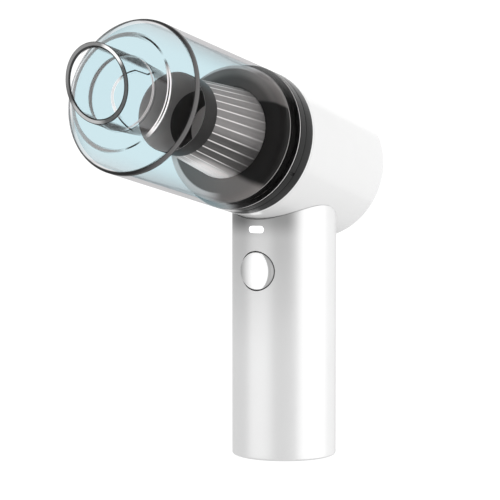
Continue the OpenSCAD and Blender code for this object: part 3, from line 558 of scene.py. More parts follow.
# Colours of the cap; the funnel, throat, floor and lower skirt carry painted light and painted shade
capLook = {
    "rim": ((0.11, 0.106, 0.105), (0.124, 0.12, 0.119)),
    "skirt": ((0.01, 0.0097, 0.0097), (0.02, 0.0193, 0.0192)),  # upper and lower
    "skirtFromTo": (-0.7, -0.9),
    "funnel": ((0.46, 0.444, 0.44), (0.32, 0.308, 0.305)),  # lower and upper
    "funnelFromTo": (-10.0, 12.0), "throat": (0.06, 0.058, 0.057), "floor": (0.5, 0.48, 0.475),
    "mouthStep": (0.05, 0.3), "skirtStep": (-0.5, -0.2), "creaseStep": (-0.1, 0.15),
    "floorStep": (0.05, 0.25),
}


def makeCap():
    front, outer = headSize("filter_cap")[1:]
    rear = headSize("pleated_filter")[1] + clearance
    floor = front - cap["depth"]
    slope = (cap["mouthRadius"] - cap["creaseRadius"]) / cap["crease"]
    neck = cap["creaseRadius"] + slope * (rear - front + cap["crease"]) + cap["wall"]
    return turned("funnel_cap", [
        (floor - cap["wall"], 0.0), (floor - cap["wall"], cap["floorRadius"] + cap["wall"], 0.4),
        (front - cap["crease"], cap["creaseRadius"] + cap["wall"]), (rear, neck, 0.2),
        (rear, outer, 0.25), (front, outer, cap["lipRound"]),
        (front, cap["mouthRadius"], cap["lipRound"]), (front - cap["crease"], cap["creaseRadius"], 0.2),
        (floor, cap["floorRadius"], 0.3), (floor, 0.0),
    ], closed=False)


def capPlastic():
    # Dark plastic with painted light and shade: its funnel is painted light down to its crease, lighter low
    # than high, then painted dark shade in its throat, and a pale floor of painted light; the skirt is
    # painted lighter along its bottom
    paint = Paint("cap_dark_plastic")
    station, _, y, radius = paint.headPlace()
    front, outer = headSize("filter_cap")[1:]
    crease, floor = front - cap["crease"], front - cap["depth"]
    cloud = paint.noise(90.0, 4.0)
    within = radius.fading(*near(cap["mouthRadius"], capLook["mouthStep"]))
    skirt = (y / radius).eased(*capLook["skirtFromTo"]).blend(*capLook["skirt"])
    funnel = y.eased(*capLook["funnelFromTo"]).blend(*capLook["funnel"])
    colour = layered(
        cloud.blend(*capLook["rim"]),
        (radius.eased(*near(outer, capLook["skirtStep"])), skirt), (within, funnel),
        (within * station.fading(*near(crease, capLook["creaseStep"])), capLook["throat"]),
        (within * station.fading(*near(floor, capLook["floorStep"])), capLook["floor"]))
    return paint.finish(paint.surface(colour, 0.42 + cloud * 0.08, {
        **behindCup(0.25), "Normal": paint.noise(1800.0, 2.0).bump(0.02, 0.0003)}))


dress(makeCap(), "filter", "cap_dark", capPlastic(), "filter_cap")
print("filter cap made")

# Pleated filter: a paper cone, crest and valley by turns

pleat = {"count": 30, "frontRadius": 16.9, "backRadius": 20.5, "frontDepth": 0.35, "backDepth": 1.0,
         "paper": 0.45, "perPleat": 20, "stations": 60, "glueLine": 0.9, "flatCrest": 0.16, "sharpFold": 0.6}
# Colours of the paper: dark is a painted shade, low and lowGlow a painted light that glows, crest a painted
# highlight
pleatLook = {
    "paper": ((0.2, 0.193, 0.191), (0.27, 0.26, 0.257)), "dark": (0.045, 0.043, 0.042), "darkShare": 0.85,
    "darkFromTo": (0.12, -0.2), "low": (0.84, 0.81, 0.8), "lowGlow": (0.16, 0.152, 0.15),
    "lowFromTo": (-0.69, -1.02), "lowFade": (66.0, 78.0), "crest": (0.95, 0.92, 0.91),
    "crestFade": (53.0, 68.0), "crestFromTo": (0.965, 1.0),
    "crestShare": (0.12, 0.6),  # at the base, and gained towards the cap
    "leftLean": 0.35, "lowLost": 0.5,
}


def makePleats():
    # Radius = crest - depth * fold, where fold goes from 0 at a crest to 1 in a valley, once per pleat
    rear, front, _ = headSize("pleated_filter")
    angle = np.linspace(0, fullTurn, pleat["count"] * pleat["perPleat"], endpoint=False)[:, None]
    share = np.linspace(0, 1, pleat["stations"])[None, :]
    wave = np.abs(((angle * pleat["count"] / fullTurn + 0.5) % 1) * 2 - 1)
    fold = np.clip((wave - pleat["flatCrest"]) / (1 - 2 * pleat["flatCrest"]), 0, 1)
    fold = fold * fold * (3 - 2 * fold) * (1 - pleat["sharpFold"]) + fold * pleat["sharpFold"]
    crest = pleat["backRadius"] + (pleat["frontRadius"] - pleat["backRadius"]) * share
    depth = pleat["backDepth"] + (pleat["frontDepth"] - pleat["backDepth"]) * share
    # At the glue line round the back end the folds close up
    depth = depth * np.clip(share * (front - rear) / pleat["glueLine"], 0, 1) ** 0.5
    outer = crest - depth * fold
    inner = outer - pleat["paper"]
    radius = np.hstack([outer, inner[:, ::-1]])
    station = rear + (front - rear) * np.hstack([share, share[:, ::-1]]) + 0 * angle
    points = placed(headAxes, radius * np.cos(angle), radius * np.sin(angle), station).reshape(-1, 3)
    tone = np.hstack([1 - fold + 0 * share, 0 * outer])
    return meshPiece("pleated_paper", points, gridFaces(*radius.shape, True, True), tone.ravel(), 60)


def filterPaper():
    # Grey felted fibre, with painted highlights along the crests, a painted shade over its lower side, and
    # painted light along its bottom that also glows
    paint = Paint("filter_paper")
    fibre, cloud = paint.noise(1400.0, 6.0, 0.7), paint.noise(120.0)
    station, x, y, radius = paint.headPlace()
    # The crests' light lines fade out towards the base
    least, gained = pleatLook["crestShare"]
    crest = paint.tone().eased(*pleatLook["crestFromTo"])
    crest = crest * (least + station.eased(*pleatLook["crestFade"]) * gained)
    down = (x * pleatLook["leftLean"] + y) / radius
    low = down.eased(*pleatLook["lowFromTo"])
    low = low * (1.0 - station.eased(*pleatLook["lowFade"]) * pleatLook["lowLost"])
    colour = layered(
        (fibre * 0.6 + cloud * 0.4).blend(*pleatLook["paper"]),
        (down.eased(*pleatLook["darkFromTo"]) * pleatLook["darkShare"], pleatLook["dark"]),
        (low, pleatLook["low"]),
        (crest, pleatLook["crest"]))
    return paint.finish(paint.surface(colour, 0.7 + (fibre - 0.5) * 0.2, {
        "Normal": fibre.bump(0.25, 0.0003),
        "Emission Color": low.blend(0.0, pleatLook["lowGlow"]),
        "Emission Strength": 1.0,
    }))


dress(makePleats(), "filter", "paper", filterPaper(), "pleated_filter")
print("pleats made")

# Filter base: polished near-black disc with a rounded front edge, and the black band behind it

base = {"radius": 30.7, "edgeRound": 4.4, "rim": 20.7, "seatRadius": 16.2, "airRadius": 13.5, "web": 2.0,
        "webDepth": 2.3, "plugWall": 2.0, "step": 0.4, "sealRadius": 27.7, "seatDepth": 0.7,
        "plugPlay": 0.2}
baseLook = {
    "dark": (0.019, 0.0184, 0.0183), "paintedReflection": (0.24, 0.225, 0.219), "line": (0.3, 0.29, 0.285),
    # The painted reflections' edges: how far up or down they start, how much that leans with the radius, how
    # wavy it is
    "topFromTo": (1.3, 1.36), "topLean": 0.031, "bottomFromTo": (1.04, 1.16), "bottomLean": 0.02,
    "wave": 0.12,
    # The upper painted reflection is thinner near the axis and at the sides: least share, and where it fills
    "topInner": (0.45, 24.0, 27.5), "topSides": (0.6, 0.45, 0.85),
    # The rounded rim is painted darker, a painted shade: share, and the radii it darkens over
    "rimDark": 0.4, "rimDarkFromTo": (27.5, 30.0),
    # A painted highlight line round the edge, in front of the seal
    "lineWidth": 0.35, "lineAhead": 0.4,  # how far it lies in front of the seal
    # Light on the rounded edge: its arc, the radii it rises over, its shade
    "edges": [((-128, 31, 12), (26.8, 27.6), (0.9, 0.855, 0.846)),
              ((94, 26, 8), (28.5, 29.2), (0.7, 0.665, 0.658))],
}


def makeBase():
    plug, front, _ = headSize("filter_base")
    sealRear, sealFront, _ = headSize("filter_seal")
    plugRadius = headSize("intake_grille")[2] - base["plugPlay"]
    plugInner = plugRadius - base["plugWall"]
    web, root = front - base["webDepth"], front - base["seatDepth"]
    behindSeal, beforeSeal = sealRear - clearance, sealFront + clearance
    return turned("base_disc", [
        (plug, plugInner, 0.3), (plug, plugRadius, 0.3),
        (behindSeal - base["step"], plugRadius),
        (behindSeal - base["step"], base["radius"] - base["step"], 0.1),
        (behindSeal, base["radius"] - base["step"], 0.1), (behindSeal, base["sealRadius"]),
        (beforeSeal, base["sealRadius"]), (beforeSeal, base["radius"], 0.15),
        (front, base["radius"], base["edgeRound"]), (front, base["rim"], 0.15),
        (root, base["rim"]), (root, base["seatRadius"]),
        (web, base["seatRadius"]), (web, base["airRadius"], 0.2),
        (web - base["web"], base["airRadius"], 0.2), (web - base["web"], plugInner, 0.4),
    ], steps=14)


def basePlastic():
    # Polished near-black disc: a grey painted reflection over its upper half, with a wavy edge, and one at
    # the bottom; a painted highlight line in front of the seal, painted light on the rounded edge, and the
    # rounded rim painted darker as shade
    paint = Paint("base_polished_plastic")
    place = paint.headPlace()
    _, x, y, radius = place
    wave = (paint.noise(70.0, 2.0) - 0.5) * baseLook["wave"]
    haze = paint.noise(60.0)
    # Both edges lean: the light parts reach further round at a larger radius
    top = (y / radius + radius * baseLook["topLean"] + wave).eased(*baseLook["topFromTo"])
    top = top * radius.filling(*baseLook["topInner"]) * (y / radius).filling(*baseLook["topSides"])
    down = wave * 0.4 - (y * 0.9 + x * 0.3) / radius + radius * baseLook["bottomLean"]
    bottom = down.eased(*baseLook["bottomFromTo"])
    edges = [(arcMask(place, *arc) * radius.eased(*rise), shade) for arc, rise, shade in baseLook["edges"]]
    lineStation = headSize("filter_seal")[1] + baseLook["lineAhead"]
    colour = layered(
        haze.blend(baseLook["dark"], [c * 1.3 for c in baseLook["dark"]]),
        (radius.eased(*baseLook["rimDarkFromTo"]) * baseLook["rimDark"], 0.0),
        (top, baseLook["paintedReflection"]), (bottom * 0.9, baseLook["paintedReflection"]),
        *edges,
        (ringMask(place, lineStation, base["radius"], baseLook["lineWidth"]), baseLook["line"]))
    return paint.finish(paint.surface(colour, 0.12 + haze * 0.06, behindCup(0.05)))


dress(makeBase(), "filter", "base_gloss", basePlastic(), "filter_base")

seal = {"lip": 0.5, "inner": 27.8, "lightArc": (-125, 34, 6), "light": (0.85, 0.82, 0.81)}


def makeSeal():
    rear, front, outer = headSize("filter_seal")
    middle, lip = (rear + front) / 2, seal["lip"]
    return turned("seal_band", [
        (rear, seal["inner"]), (rear, outer - lip, 0.1),
        (rear + lip, outer, 0.2), (middle, outer - lip, 0.3),
        (front - lip, outer, 0.2), (front, outer - lip, 0.1),
        (front, seal["inner"]),
    ])


def sealRubber():
    # Black rubber; the light low on its left is the cup's wall shining in front of it
    paint = Paint("seal_rubber")
    cloud = paint.noise(90.0, 4.0)
    lit = arcMask(paint.headPlace(), *seal["lightArc"])
    colour = lit.blend(cloud.blend(0.003, 0.005), seal["light"])
    return paint.finish(paint.surface(colour, 0.5 + (cloud - 0.5) * 0.15, {
        **behindCup(0.08), "Normal": paint.noise(2200.0, 2.0).bump(0.02, 0.0004)}))


dress(makeSeal(), "filter", "seal_rubber", sealRubber(), "filter_seal")
print("filter base and seal made")

# Front collar: polished dark ring with a fine groove and a short moulding line

collar = {"spigotRadius": 30.45, "spigotWall": 1.8, "bore": 29.15, "ledge": 27.15, "rear": 28.2, "edge": 0.4,
          "grooveBack": 4.1, "groove": 0.6, "notchAngle": -29.0, "notchWidth": 1.0, "notchDepth": 0.5}
collarLook = {
    "dark": 0.014, "gloss": 0.13,
    "lipTo": (29.3, 29.6),  # the rear lip is white up to here
    "lip": 0.85,
    # Light low on the left, which reaches further round in front: arc, stations it rises over, shade
    "light": [((-128, 28, 8), (28, 29), 0.8), ((-118, 31, 7), (33, 36), 0.8)],
}


def makeCollar():
    spigot, front, outer = headSize("front_collar")
    grille = headSize("intake_grille")[0]
    rear, groove, grooveWidth = collar["rear"], front - collar["grooveBack"], collar["groove"]
    spigotIn = collar["spigotRadius"] - collar["spigotWall"]

    def shift(x, y, z):
        # The moulding line: points near its angle, in front of the groove, sink towards the axis, in full
        # within 0.42 of its width and not at all past 0.83 of it
        radius = np.hypot(x, y)
        offset = np.radians((np.degrees(np.arctan2(y, x)) - collar["notchAngle"] + 180) % 360 - 180) * radius
        sunk = np.clip(2 - 2.4 * np.abs(offset) / collar["notchWidth"], 0, 1) * (z > groove - grooveWidth)
        sunk = sunk * (radius > outer - 1) * collar["notchDepth"]
        return x * (1 - sunk / radius), y * (1 - sunk / radius), z

    stations = np.linspace(groove, front, 8)[1:-1]
    return turned("collar_ring", [
        (spigot, spigotIn, 0.2), (spigot, collar["spigotRadius"], 0.3),
        (rear, collar["spigotRadius"]), (rear, outer, 0.15),
        (groove - grooveWidth, outer, 0.08), (groove - grooveWidth / 2, outer - grooveWidth / 2, 0.05),
        (groove, outer, 0.08),
        *[(station, outer) for station in stations],
        (front, outer, collar["edge"]), (front, collar["bore"], 0.3),
        (grille, collar["bore"]), (grille, collar["ledge"], 0.1),
        (rear, collar["ledge"], 0.2), (rear, spigotIn),
    ], segments=960, shift=shift)


def collarPlastic():
    # Polished dark plastic: faint swirl in the gloss, and dust-fine wear that dulls it in places
    paint = Paint("collar_polished_plastic")
    haze = paint.noise(60.0)
    place = paint.headPlace()
    light = [(arcMask(place, *arc) * place[0].eased(*rise), tint) for arc, rise, tint in collarLook["light"]]
    colour = layered(
        haze.blend(collarLook["dark"], collarLook["dark"] * 1.25),
        (place[0].fading(*collarLook["lipTo"]), collarLook["lip"]),
        *light)
    return paint.finish(paint.surface(colour, 0.2 + haze * 0.1, {"Specular IOR Level": collarLook["gloss"]}))


dress(makeCollar(), "housing", "collar_gloss", collarPlastic(), "front_collar")
print("collar made")

# Motor housing: gloss white barrel, and the neck that goes down into the handle

housing = {"wall": 2.2, "edgeRound": 2.06, "ledge": 2.2, "ledgeStation": 13.0, "neckBottom": 97.5,
           "neckRadius": 21.9, "neckWall": 2.0, "neckSunk": 0.6}


def makeHousing():
    rear, front = headSize("motor_housing")[0], collar["rear"] - clearance
    inner, curve = headRadius - housing["wall"], housing["edgeRound"]
    station, ledge = housing["ledgeStation"], housing["ledge"]
    # The rear edge is a quarter circle
    bend = np.linspace(0, math.pi / 2, 12)
    edge = zip(rear + curve * (1 - np.cos(bend)), headRadius - curve * (1 - np.sin(bend)))
    return turned("motor_barrel", [
        (rear, inner),
        *edge,
        (front, headRadius, 0.15), (front, inner, 0.1),
        (station, inner), (station, inner - ledge, 0.1),
        (station - ledge, inner - ledge, 0.1), (station - ledge, inner),
    ], segments=256, steps=10)


def saddleHeight(x, y, radius):
    # Height where the upright line through (x, y) meets the underside of the head's cylinder of that radius
    drop = np.sqrt(np.maximum(radius ** 2 - x ** 2, 0))
    return headCentre[2] / mm - (drop + y * upward[1]) / upward[2]


def makeNeck():
    # A tube up the handle's axis, whose top edge follows the barrel: height = head axis less the half chord
    bottom, outer = housing["neckBottom"], housing["neckRadius"]
    inner = outer - housing["neckWall"]

    def shift(x, y, z):
        top = saddleHeight(x, y, headRadius - housing["neckSunk"])
        return x, y, bottom + (z - bottom) * (top - bottom)

    corners = [(bottom, inner), (bottom, outer), (bottom + 1, outer), (bottom + 1, inner)]
    return turned("housing_neck", corners, axes=handleAxes, segments=256, shift=shift)


def whiteGloss():
    # Gloss white shell: very slight orange peel, and a breath of warmth in the tint
    paint = Paint("housing_white_gloss")
    cloud = paint.noise(45.0)
    return paint.finish(paint.surface(cloud.blend(0.83, (0.86, 0.86, 0.858)), 0.2 + (cloud - 0.5) * 0.06, {
        "Normal": paint.noise(700.0, 2.0).bump(0.015, 0.0005),
        "Coat Weight": 0.6,
        "Coat Roughness": 0.04,
    }))


housingMaterial = whiteGloss()
dress(makeHousing(), "housing", "housing_white", housingMaterial, "motor_housing")
dress(makeNeck(), "housing", "housing_white", housingMaterial, "motor_housing")
print("motor housing made")

# Handle shell: satin silver tube, its top cut to the head, with the button's hole and the light's slot

buttonHeight, lightHeight = middleHeight("power_button"), middleHeight("light_lens")
handle = {"wall": 2.0, "edgeRound": 1.6, "topRound": 0.25, "gap": 0.5, "gapRight": 0.12,
          "gapFromTo": (4.0, 13.0), "straightFrom": 3.0, "straightTo": 90.0, "rows": 60, "buttonHole": 9.1,
          "lightWidth": 8.3, "lightTall": 3.4, "portHeight": 18.0, "portWidth": 9.6, "portTall": 3.8}
# Soft shade under the head, in metres: strong at its edge and dying out downwards, more so on the left
handleLook = {
    "silver": (0.78, 0.86), "shadeTop": 0.11, "near": 0.01, "nearShare": 0.3, "nearLeft": 0.18,
    "far": 0.07, "farShare": 0.25, "farLeft": 0.05, "leftTo": (-0.008, 0.004), "shadeTo": (0.0135, 0.02),
    "metallic": 0.6, "roughness": 0.36, "drawnMarks": 0.08, "cloudMarks": 0.04,
}


def stadium(width, tall, count=48):
    # A slot's outline: two half circles, joined by straight sides
    angle = np.linspace(0, fullTurn, count, endpoint=False)
    x, y = tall / 2 * np.cos(angle), tall / 2 * np.sin(angle)
    return x + np.where(x >= 0, 1, -1) * (width - tall) / 2, y


def cutter(name, x, z, nearY, farY):
    # A prism along Y from an outline of (x, z)
    count = len(x)
    points = np.vstack([np.stack([x, np.full_like(x, y), z], 1) for y in (nearY, farY)]) * mm
    sides = gridFaces(2, count, False, True)[:, ::-1]
    mesh = bpy.data.meshes.new(name)
    caps = [[*range(count)][::-1], [*range(count, 2 * count)]]
    mesh.from_pydata(points.tolist(), [], sides.tolist() + caps)
    shape = bmesh.new()
    shape.from_mesh(mesh)
    bmesh.ops.recalc_face_normals(shape, faces=shape.faces)
    shape.to_mesh(mesh)
    shape.free()
    return newObject(name, mesh)


def makeHandle():
    radius, inner = handleRadius, handleRadius - handle["wall"]
    bottom, top = handle["straightFrom"], handle["straightTo"]

    def shift(x, y, z):
        # Above the bottom edge, height is stretched so that the top edge follows the head, with a gap that
        # narrows towards the right
        gap = np.interp(x, handle["gapFromTo"], [handle["gap"], handle["gapRight"]])
        height = saddleHeight(x, y, headRadius + gap)
        share = np.clip((z - bottom) / (top - bottom), 0, None)
        return x, y, np.where(z > bottom, bottom + share * (height - bottom), z)

    rows = np.linspace(bottom, top, handle["rows"])[1:-1]
    shell = turned("handle_tube", [
        (0.0, inner, 0.2), (0.0, radius, handle["edgeRound"]),
        (bottom, radius),
        *[(row, radius) for row in rows],
        (top, radius, handle["topRound"]), (top, inner, handle["topRound"]),
        *[(row, inner) for row in rows[::-1]],
        (bottom, inner),
    ], axes=handleAxes, segments=256, steps=8, shift=shift)
    angle = np.linspace(0, fullTurn, 128, endpoint=False)
    holeX, holeZ = handle["buttonHole"] * np.cos(angle), handle["buttonHole"] * np.sin(angle) + buttonHeight
    slotX, slotZ = stadium(handle["lightWidth"], handle["lightTall"])
    portX = np.array([-1, 1, 1, -1]) * handle["portWidth"] / 2
    portZ = np.array([-1, -1, 1, 1]) * handle["portTall"] / 2 + handle["portHeight"]
    cutters = [
        cutter("button_cut", holeX, holeZ, -radius - 5, -5),
        cutter("light_cut", slotX, slotZ + lightHeight, -radius - 5, -5),
        cutter("port_cut", portX, portZ, 5, radius + 5),
    ]
    for tool in cutters:
        modifier = shell.modifiers.new(tool.name, "BOOLEAN")
        modifier.operation, modifier.object, modifier.solver = "DIFFERENCE", tool, "EXACT"
    cut = bpy.data.meshes.new_from_object(shell.evaluated_get(bpy.context.evaluated_depsgraph_get()))
    shell.modifiers.clear()
    shell.data = cut
    for tool in cutters:
        bpy.data.objects.remove(tool)
    cut.set_sharp_from_angle(angle=math.radians(35))
    return shell


def satinSilver():
    # Satin silver paint over plastic: fine metallic flake, faint vertical polish marks, and a painted shade
    # under the head
    paint = Paint("handle_satin_silver")
    flake, cloud = paint.noise(5200.0, 2.0), paint.noise(40.0)
    grain = paint.add("Mapping", {}, {"Vector": paint.place, "Scale": (900.0, 900.0, 18.0)})
    drawn = paint.noise(1.0, 4.0, vector=grain)
    x, _, z = paint.split()
    # Painted shade under the head, stronger on the left
    drop, left = handleLook["shadeTop"] - z, x.fading(*handleLook["leftTo"])
    near = drop.fading(0.0, handleLook["near"]) * (left * handleLook["nearLeft"] + handleLook["nearShare"])
    far = drop.fading(0.0, handleLook["far"]) * (left * handleLook["farLeft"] + handleLook["farShare"])
    silver = (flake * 0.5 + cloud * 0.5).blend(*handleLook["silver"])
    satin = ((near + far) * x.fading(*handleLook["shadeTo"])).blend(silver, 0.0)
    roughness = handleLook["roughness"] + (drawn - 0.5) * handleLook["drawnMarks"]
    roughness = roughness + (cloud - 0.5) * handleLook["cloudMarks"]
    return paint.finish(paint.surface(satin, roughness, {
        "Metallic": handleLook["metallic"], "Normal": flake.bump(0.02, 0.0002)}))


dress(makeHandle(), "housing", "handle_silver", satinSilver(), "handle_shell")
print("handle made")

# Power button: domed disc with a soft edge, on its skirt, flange and stem

button = {"radius": 8.6, "wall": 1.6, "flange": 1.4, "stem": 1.5, "proud": 1.0, "rimDepth": 1.5, "floor": 2.2}
# Painted shade on the button's left, and a grey crescent of painted shade on its right where the side wall
# shows, in metres; the glow is a painted light
buttonLook = {"white": (0.93, 0.96), "left": 0.2, "leftTo": (-0.01, 0.0005), "crescent": 0.36,
              "discLeft": 0.0032, "discTo": (0.0098, 0.0105), "sunk": 0.03, "sunkFrom": (-0.0002, 0.0006),
              "glow": 0.3}


def makeButton():
    points = nodePoints("power_button") / mm
    edge, flange = button["radius"], button["radius"] + button["flange"]
    stem = -points[:, 1].max()
    flat = np.hypot(points[:, 0], points[:, 2] - buttonHeight)
    flangeDepths = -points[flat > edge + 0.5, 1]
    flangeBack, flangeFront = flangeDepths.min(), flangeDepths.max()
    face = handleRadius + button["proud"]
    floor, skirt = face - button["floor"], edge - button["wall"]
    # The face falls away faster and faster: depth = rim depth times (1 - root(1 - share cubed))
    shares = np.linspace(0, 1, 25)[:-1] ** 0.8
    dome = zip(face - button["rimDepth"] * (1 - np.sqrt(1 - shares ** 3)), edge * shares)
    return turned("button_cap", [
        (stem, 0.0), (stem, button["stem"], 0.2),
        (floor, button["stem"]), (floor, skirt),
        (flangeBack, skirt, 0.1), (flangeBack, flange, 0.15),
        (flangeFront, flange, 0.15), (flangeFront, edge),
        (face - button["rimDepth"], edge),
        *[*dome][::-1],
    ], axes=(skyward * buttonHeight * mm, across, skyward, -backward), segments=128, closed=False)


def buttonPlastic():
    # White cap of the button, with painted shade on its left and a crescent of painted shade on its right;
    # its side wall is painted into shade below the handle's surface, and the cap glows faintly, a painted
    # light
    paint = Paint("button_white_plastic")
    x, y, z = paint.split()
    cloud = paint.noise(90.0)
    # The crescent is what lies outside a disc moved to the left
    rise, run = z - buttonHeight * mm, x + buttonLook["discLeft"]
    away = (rise * rise + run * run) ** 0.5
    depth = handleRadius * mm - (x * x + y * y) ** 0.5
    colour = layered(
        cloud.blend(*buttonLook["white"]),
        (x.fading(*buttonLook["leftTo"]), buttonLook["left"]),
        (away.eased(*buttonLook["discTo"]), buttonLook["crescent"]),
        (depth.eased(*buttonLook["sunkFrom"]), buttonLook["sunk"]))
    # The cap glows faintly: a painted light
    return paint.finish(paint.surface(colour, 0.25 + cloud * 0.06, {
        "Emission Color": colour, "Emission Strength": buttonLook["glow"]}))


dress(makeButton(), "button", "button_white", buttonPlastic(), "power_button")

# Light window: a lit plug in the slot, its face curved with the handle

light = {
    "width": 8.0, "tall": 3.0, "glow": 0.9,
    "rings": (1.0, 0.985, 0.95, 0.8, 0.6, 0.4, 0.2, 0.0),  # share of the outline
    "sunk": (0.16, 0.06, 0.01, 0.0, 0.0, 0.0, 0.0, 0.0),  # how far each ring lies below the face
    "lit": 1.0, "ends": (0.7, 0.72, 0.74), "endsFromTo": (0.0025, 0.0043),  # dimmer from here, in metres
}


def makeLens():
    # Rings of the slot's outline, shrinking to its middle: y = -root(radius squared - x squared) on the front
    back = nodePoints("light_lens")[:, 1].max() / mm
    x, z = stadium(light["width"], light["tall"], 96)
    faceX, faceZ = x[:, None] * light["rings"], z[:, None] * light["rings"]
    faceY = light["sunk"] - np.sqrt(handleRadius ** 2 - faceX ** 2)
    gridX = np.hstack([faceX[:, ::-1], faceX])
    gridY = np.hstack([np.full_like(faceX, back), faceY])
    gridZ = np.hstack([faceZ[:, ::-1], faceZ]) + lightHeight
    points = np.stack([gridX, gridY, gridZ], -1).reshape(-1, 3) * mm
    return meshPiece("light_window", points, gridFaces(*gridX.shape, True, False))


def litWindow():
    # Milky window lit from behind, a little dimmer towards its ends
    paint = Paint("light_window_lit")
    width = paint.add("Math", {"operation": "ABSOLUTE"}, {0: paint.split()[0]})
    cloud = paint.noise(800.0, 2.0)
    return paint.finish(paint.surface(cloud.blend((0.86, 0.87, 0.88), 0.9), 0.3 + cloud * 0.06, {
        "Emission Color": width.eased(*light["endsFromTo"]).blend(light["lit"], light["ends"]),
        "Emission Strength": light["glow"],
    }))


dress(makeLens(), "housing", "light_white", litWindow(), "light_lens")
print("button and light made")

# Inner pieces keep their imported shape; their finish: material, colour, roughness, metallic, mottle

innerFinishes = {
    "filter_core": ("core_grey_plastic", 0.2, 0.5),
    "collar_screws": ("screw_steel", (0.55, 0.55, 0.56), 0.28, 1.0),
    "intake_grille": ("grille_dark_plastic", 0.05, 0.5),
    "rear_cover": ("rear_white_plastic", 0.8, 0.3, 0.0, 0.02),
    "fan_shroud": ("shroud_plastic", 0.06, 0.5),
    "impeller": ("impeller_plastic", 0.09, 0.4),
    "motor_plate": ("plate_plastic", 0.06, 0.5),
    "motor_can": ("motor_steel", (0.6, 0.6, 0.61), 0.3, 1.0),
    "motor_magnets": ("magnet_ferrite", 0.05, 0.6),
    "motor_end_bell": ("end_bell_plastic", 0.02, 0.5),
    "front_bushing": ("bushing_bronze", (0.5, 0.31, 0.15), 0.4, 1.0),
    "motor_shaft": ("shaft_steel", (0.68, 0.68, 0.7), 0.2, 1.0),
    "armature": ("armature_core", (0.34, 0.19, 0.1), 0.45, 0.7),
    "commutator": ("commutator_copper", (0.6, 0.36, 0.2), 0.3, 1.0),
    "motor_brushes": ("brush_carbon", 0.03, 0.6),
    "rear_motor_mount": ("mount_rubber", 0.018, 0.7),
    "handle_frame": ("frame_black_plastic", 0.03, 0.5),
    "base_cap": ("base_cap_plastic", (0.6, 0.6, 0.605), 0.4, 0.0, 0.03),
    "battery_left": ("cell_wrap_blue", (0.06, 0.16, 0.3), 0.35),
    "battery_tabs": ("nickel_strip", (0.6, 0.58, 0.54), 0.3, 1.0),
    "control_board": ("board_green", (0.02, 0.13, 0.06), 0.45),
    "charging_port": ("port_steel", 0.6, 0.25, 1.0),
    "power_switch": ("switch_black", 0.02, 0.45),
    "light_chip": ("chip_ceramic", (0.8, 0.78, 0.6), 0.5),
    "motor_leads": ("lead_skin_red", (0.4, 0.02, 0.02), 0.45),
}
sameFinish = {
    "rear_cover_screws": "collar_screws",
    "neck_screws": "collar_screws",
    "base_screws": "collar_screws",
    "rear_bushing": "front_bushing",
    "battery_right": "battery_left",
    "switch_board": "control_board",
}
finishes = {name: moulded(*row) for name, row in innerFinishes.items()}
for name, node in nodes.items():
    finish = finishes.get(sameFinish.get(name, name))
    if finish and not node.hide_render:
        node.data.materials.clear()
        node.data.materials.append(finish)
print("inner pieces finished")

# Camera, at the photograph's angle

camera = {"place": (464.1, -734.0, 148.2), "azimuth": 33.347, "pitch": 3.538, "lens": 135.5, "sensor": 36.0}


def stand(thing, sideways, backOut, place):
    # Place an object so that its X runs sideways and its Z runs back, away from what it looks at
    matrix = np.eye(4)
    matrix[:3, :3] = np.stack([sideways, np.cross(backOut, sideways), backOut], 1)
    matrix[:3, 3] = place
    thing.matrix_world = Matrix(matrix.tolist())


def outwardAxes(azimuth, elevation):
    # From the object towards an azimuth and elevation, and sideways to that
    turn, rise = math.radians(azimuth), math.radians(elevation)
    outward = [math.sin(turn) * math.cos(rise), -math.cos(turn) * math.cos(rise), math.sin(rise)]
    return np.array([math.cos(turn), math.sin(turn), 0.0]), np.array(outward)


def makeCamera():
    data = bpy.data.cameras.new("camera")
    data.lens, data.sensor_width = camera["lens"], camera["sensor"]
    data.clip_start, data.clip_end = 0.01, 100
    eye = newObject("camera", data)
    stand(eye, *outwardAxes(camera["azimuth"], camera["pitch"]), np.array(camera["place"]) * mm)
    bpy.context.scene.camera = eye


makeCamera()

# Studio: pale floor, white surround, soft boxes placed by their angle from the camera's side

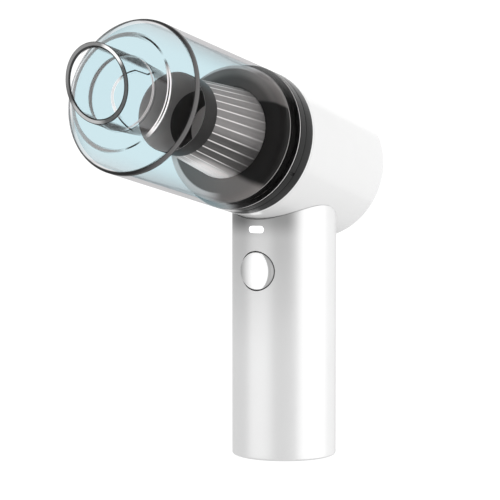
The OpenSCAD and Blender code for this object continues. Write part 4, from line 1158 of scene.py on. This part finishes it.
studio = {
    "low": 0.8, "level": 0.78, "lowTo": (-0.25, -0.08), "panel": 0.65,
    # The panel's fading edges: front, right, bottom and top
    "panelEdges": ((0.15, 0.4), (-0.04, 0.08), (0.02, 0.12), (0.6, 0.8)), "backdrop": 1.1,
    "floorSize": 14.0, "floorHeight": -0.0001, "middle": (0.0, 0.0, 0.1),
    # name: (azimuth from the camera towards the right, elevation, distance, width, height, radiance)
    "boxes": {
        "right_box": (66, 2, 1.6, 2.35, 1.8, 0.88),
        "far_right_box": (125, 2, 1.6, 1.2, 1.8, 0.34),
        "left_box": (-57, 0, 1.6, 1.7, 1.2, 0.55),
    },
}


def makeBox(name, azimuth, elevation, distance, width, height, radiance):
    # A soft box that looks at the object; its power is radiance times pi times its area
    sideways, outward = outwardAxes(camera["azimuth"] + azimuth, elevation)
    data = bpy.data.lights.new(name, "AREA")
    data.shape, data.size, data.size_y = "RECTANGLE", width, height
    data.energy = radiance * math.pi * width * height
    lamp = newObject(name, data)
    stand(lamp, sideways, outward, np.array(studio["middle"]) + outward * distance)
    lamp.visible_camera = False


def makeSurround():
    # Light from the floor, a level round the room, and a tall panel behind the object on its left
    world = bpy.data.worlds.new("studio")
    bpy.context.scene.world = world
    paint = Paint("studio", world)
    x, y, z = paint.split()
    front, right, bottom, top = studio["panelEdges"]
    glow = studio["low"] + z.eased(*studio["lowTo"]) * (studio["level"] - studio["low"])
    panel = y.eased(*front) * x.fading(*right) * z.eased(*bottom) * z.fading(*top)
    glow = glow + panel * studio["panel"]
    seen = paint.add("LightPath", out="Is Camera Ray")
    strength = glow * (1.0 - seen) + seen * studio["backdrop"]
    shader = paint.add("Background", {}, {"Color": (1, 1, 1, 1), "Strength": strength})
    paint.finish(shader, "OutputWorld")


def makeFloor():
    half, height = studio["floorSize"] / 2, studio["floorHeight"]
    mesh = bpy.data.meshes.new("floor")
    spots = [(x * half, y * half, height) for x, y in ((-1, -1), (1, -1), (1, 1), (-1, 1))]
    mesh.from_pydata(spots, [], [(0, 1, 2, 3)])
    floor = newObject("floor", mesh)
    paint = Paint("floor_white")
    mesh.materials.append(paint.finish(paint.surface(0.04, 0.9, {
        "Specular IOR Level": 0.0,
        "Emission Color": paint.noise(3.0, 2.0).blend(0.99, 1.0),
        "Emission Strength": studio["backdrop"] - 0.04,
    })))
    floor.visible_diffuse = floor.visible_glossy = False


for name, box in studio["boxes"].items():
    makeBox(name, *box)
makeSurround()
makeFloor()
scene = bpy.context.scene
scene.view_settings.view_transform = "Standard"
scene.cycles.use_denoising = True
scene.cycles.transparent_max_bounces = 40
scene.cycles.max_bounces = 16
print("studio made")
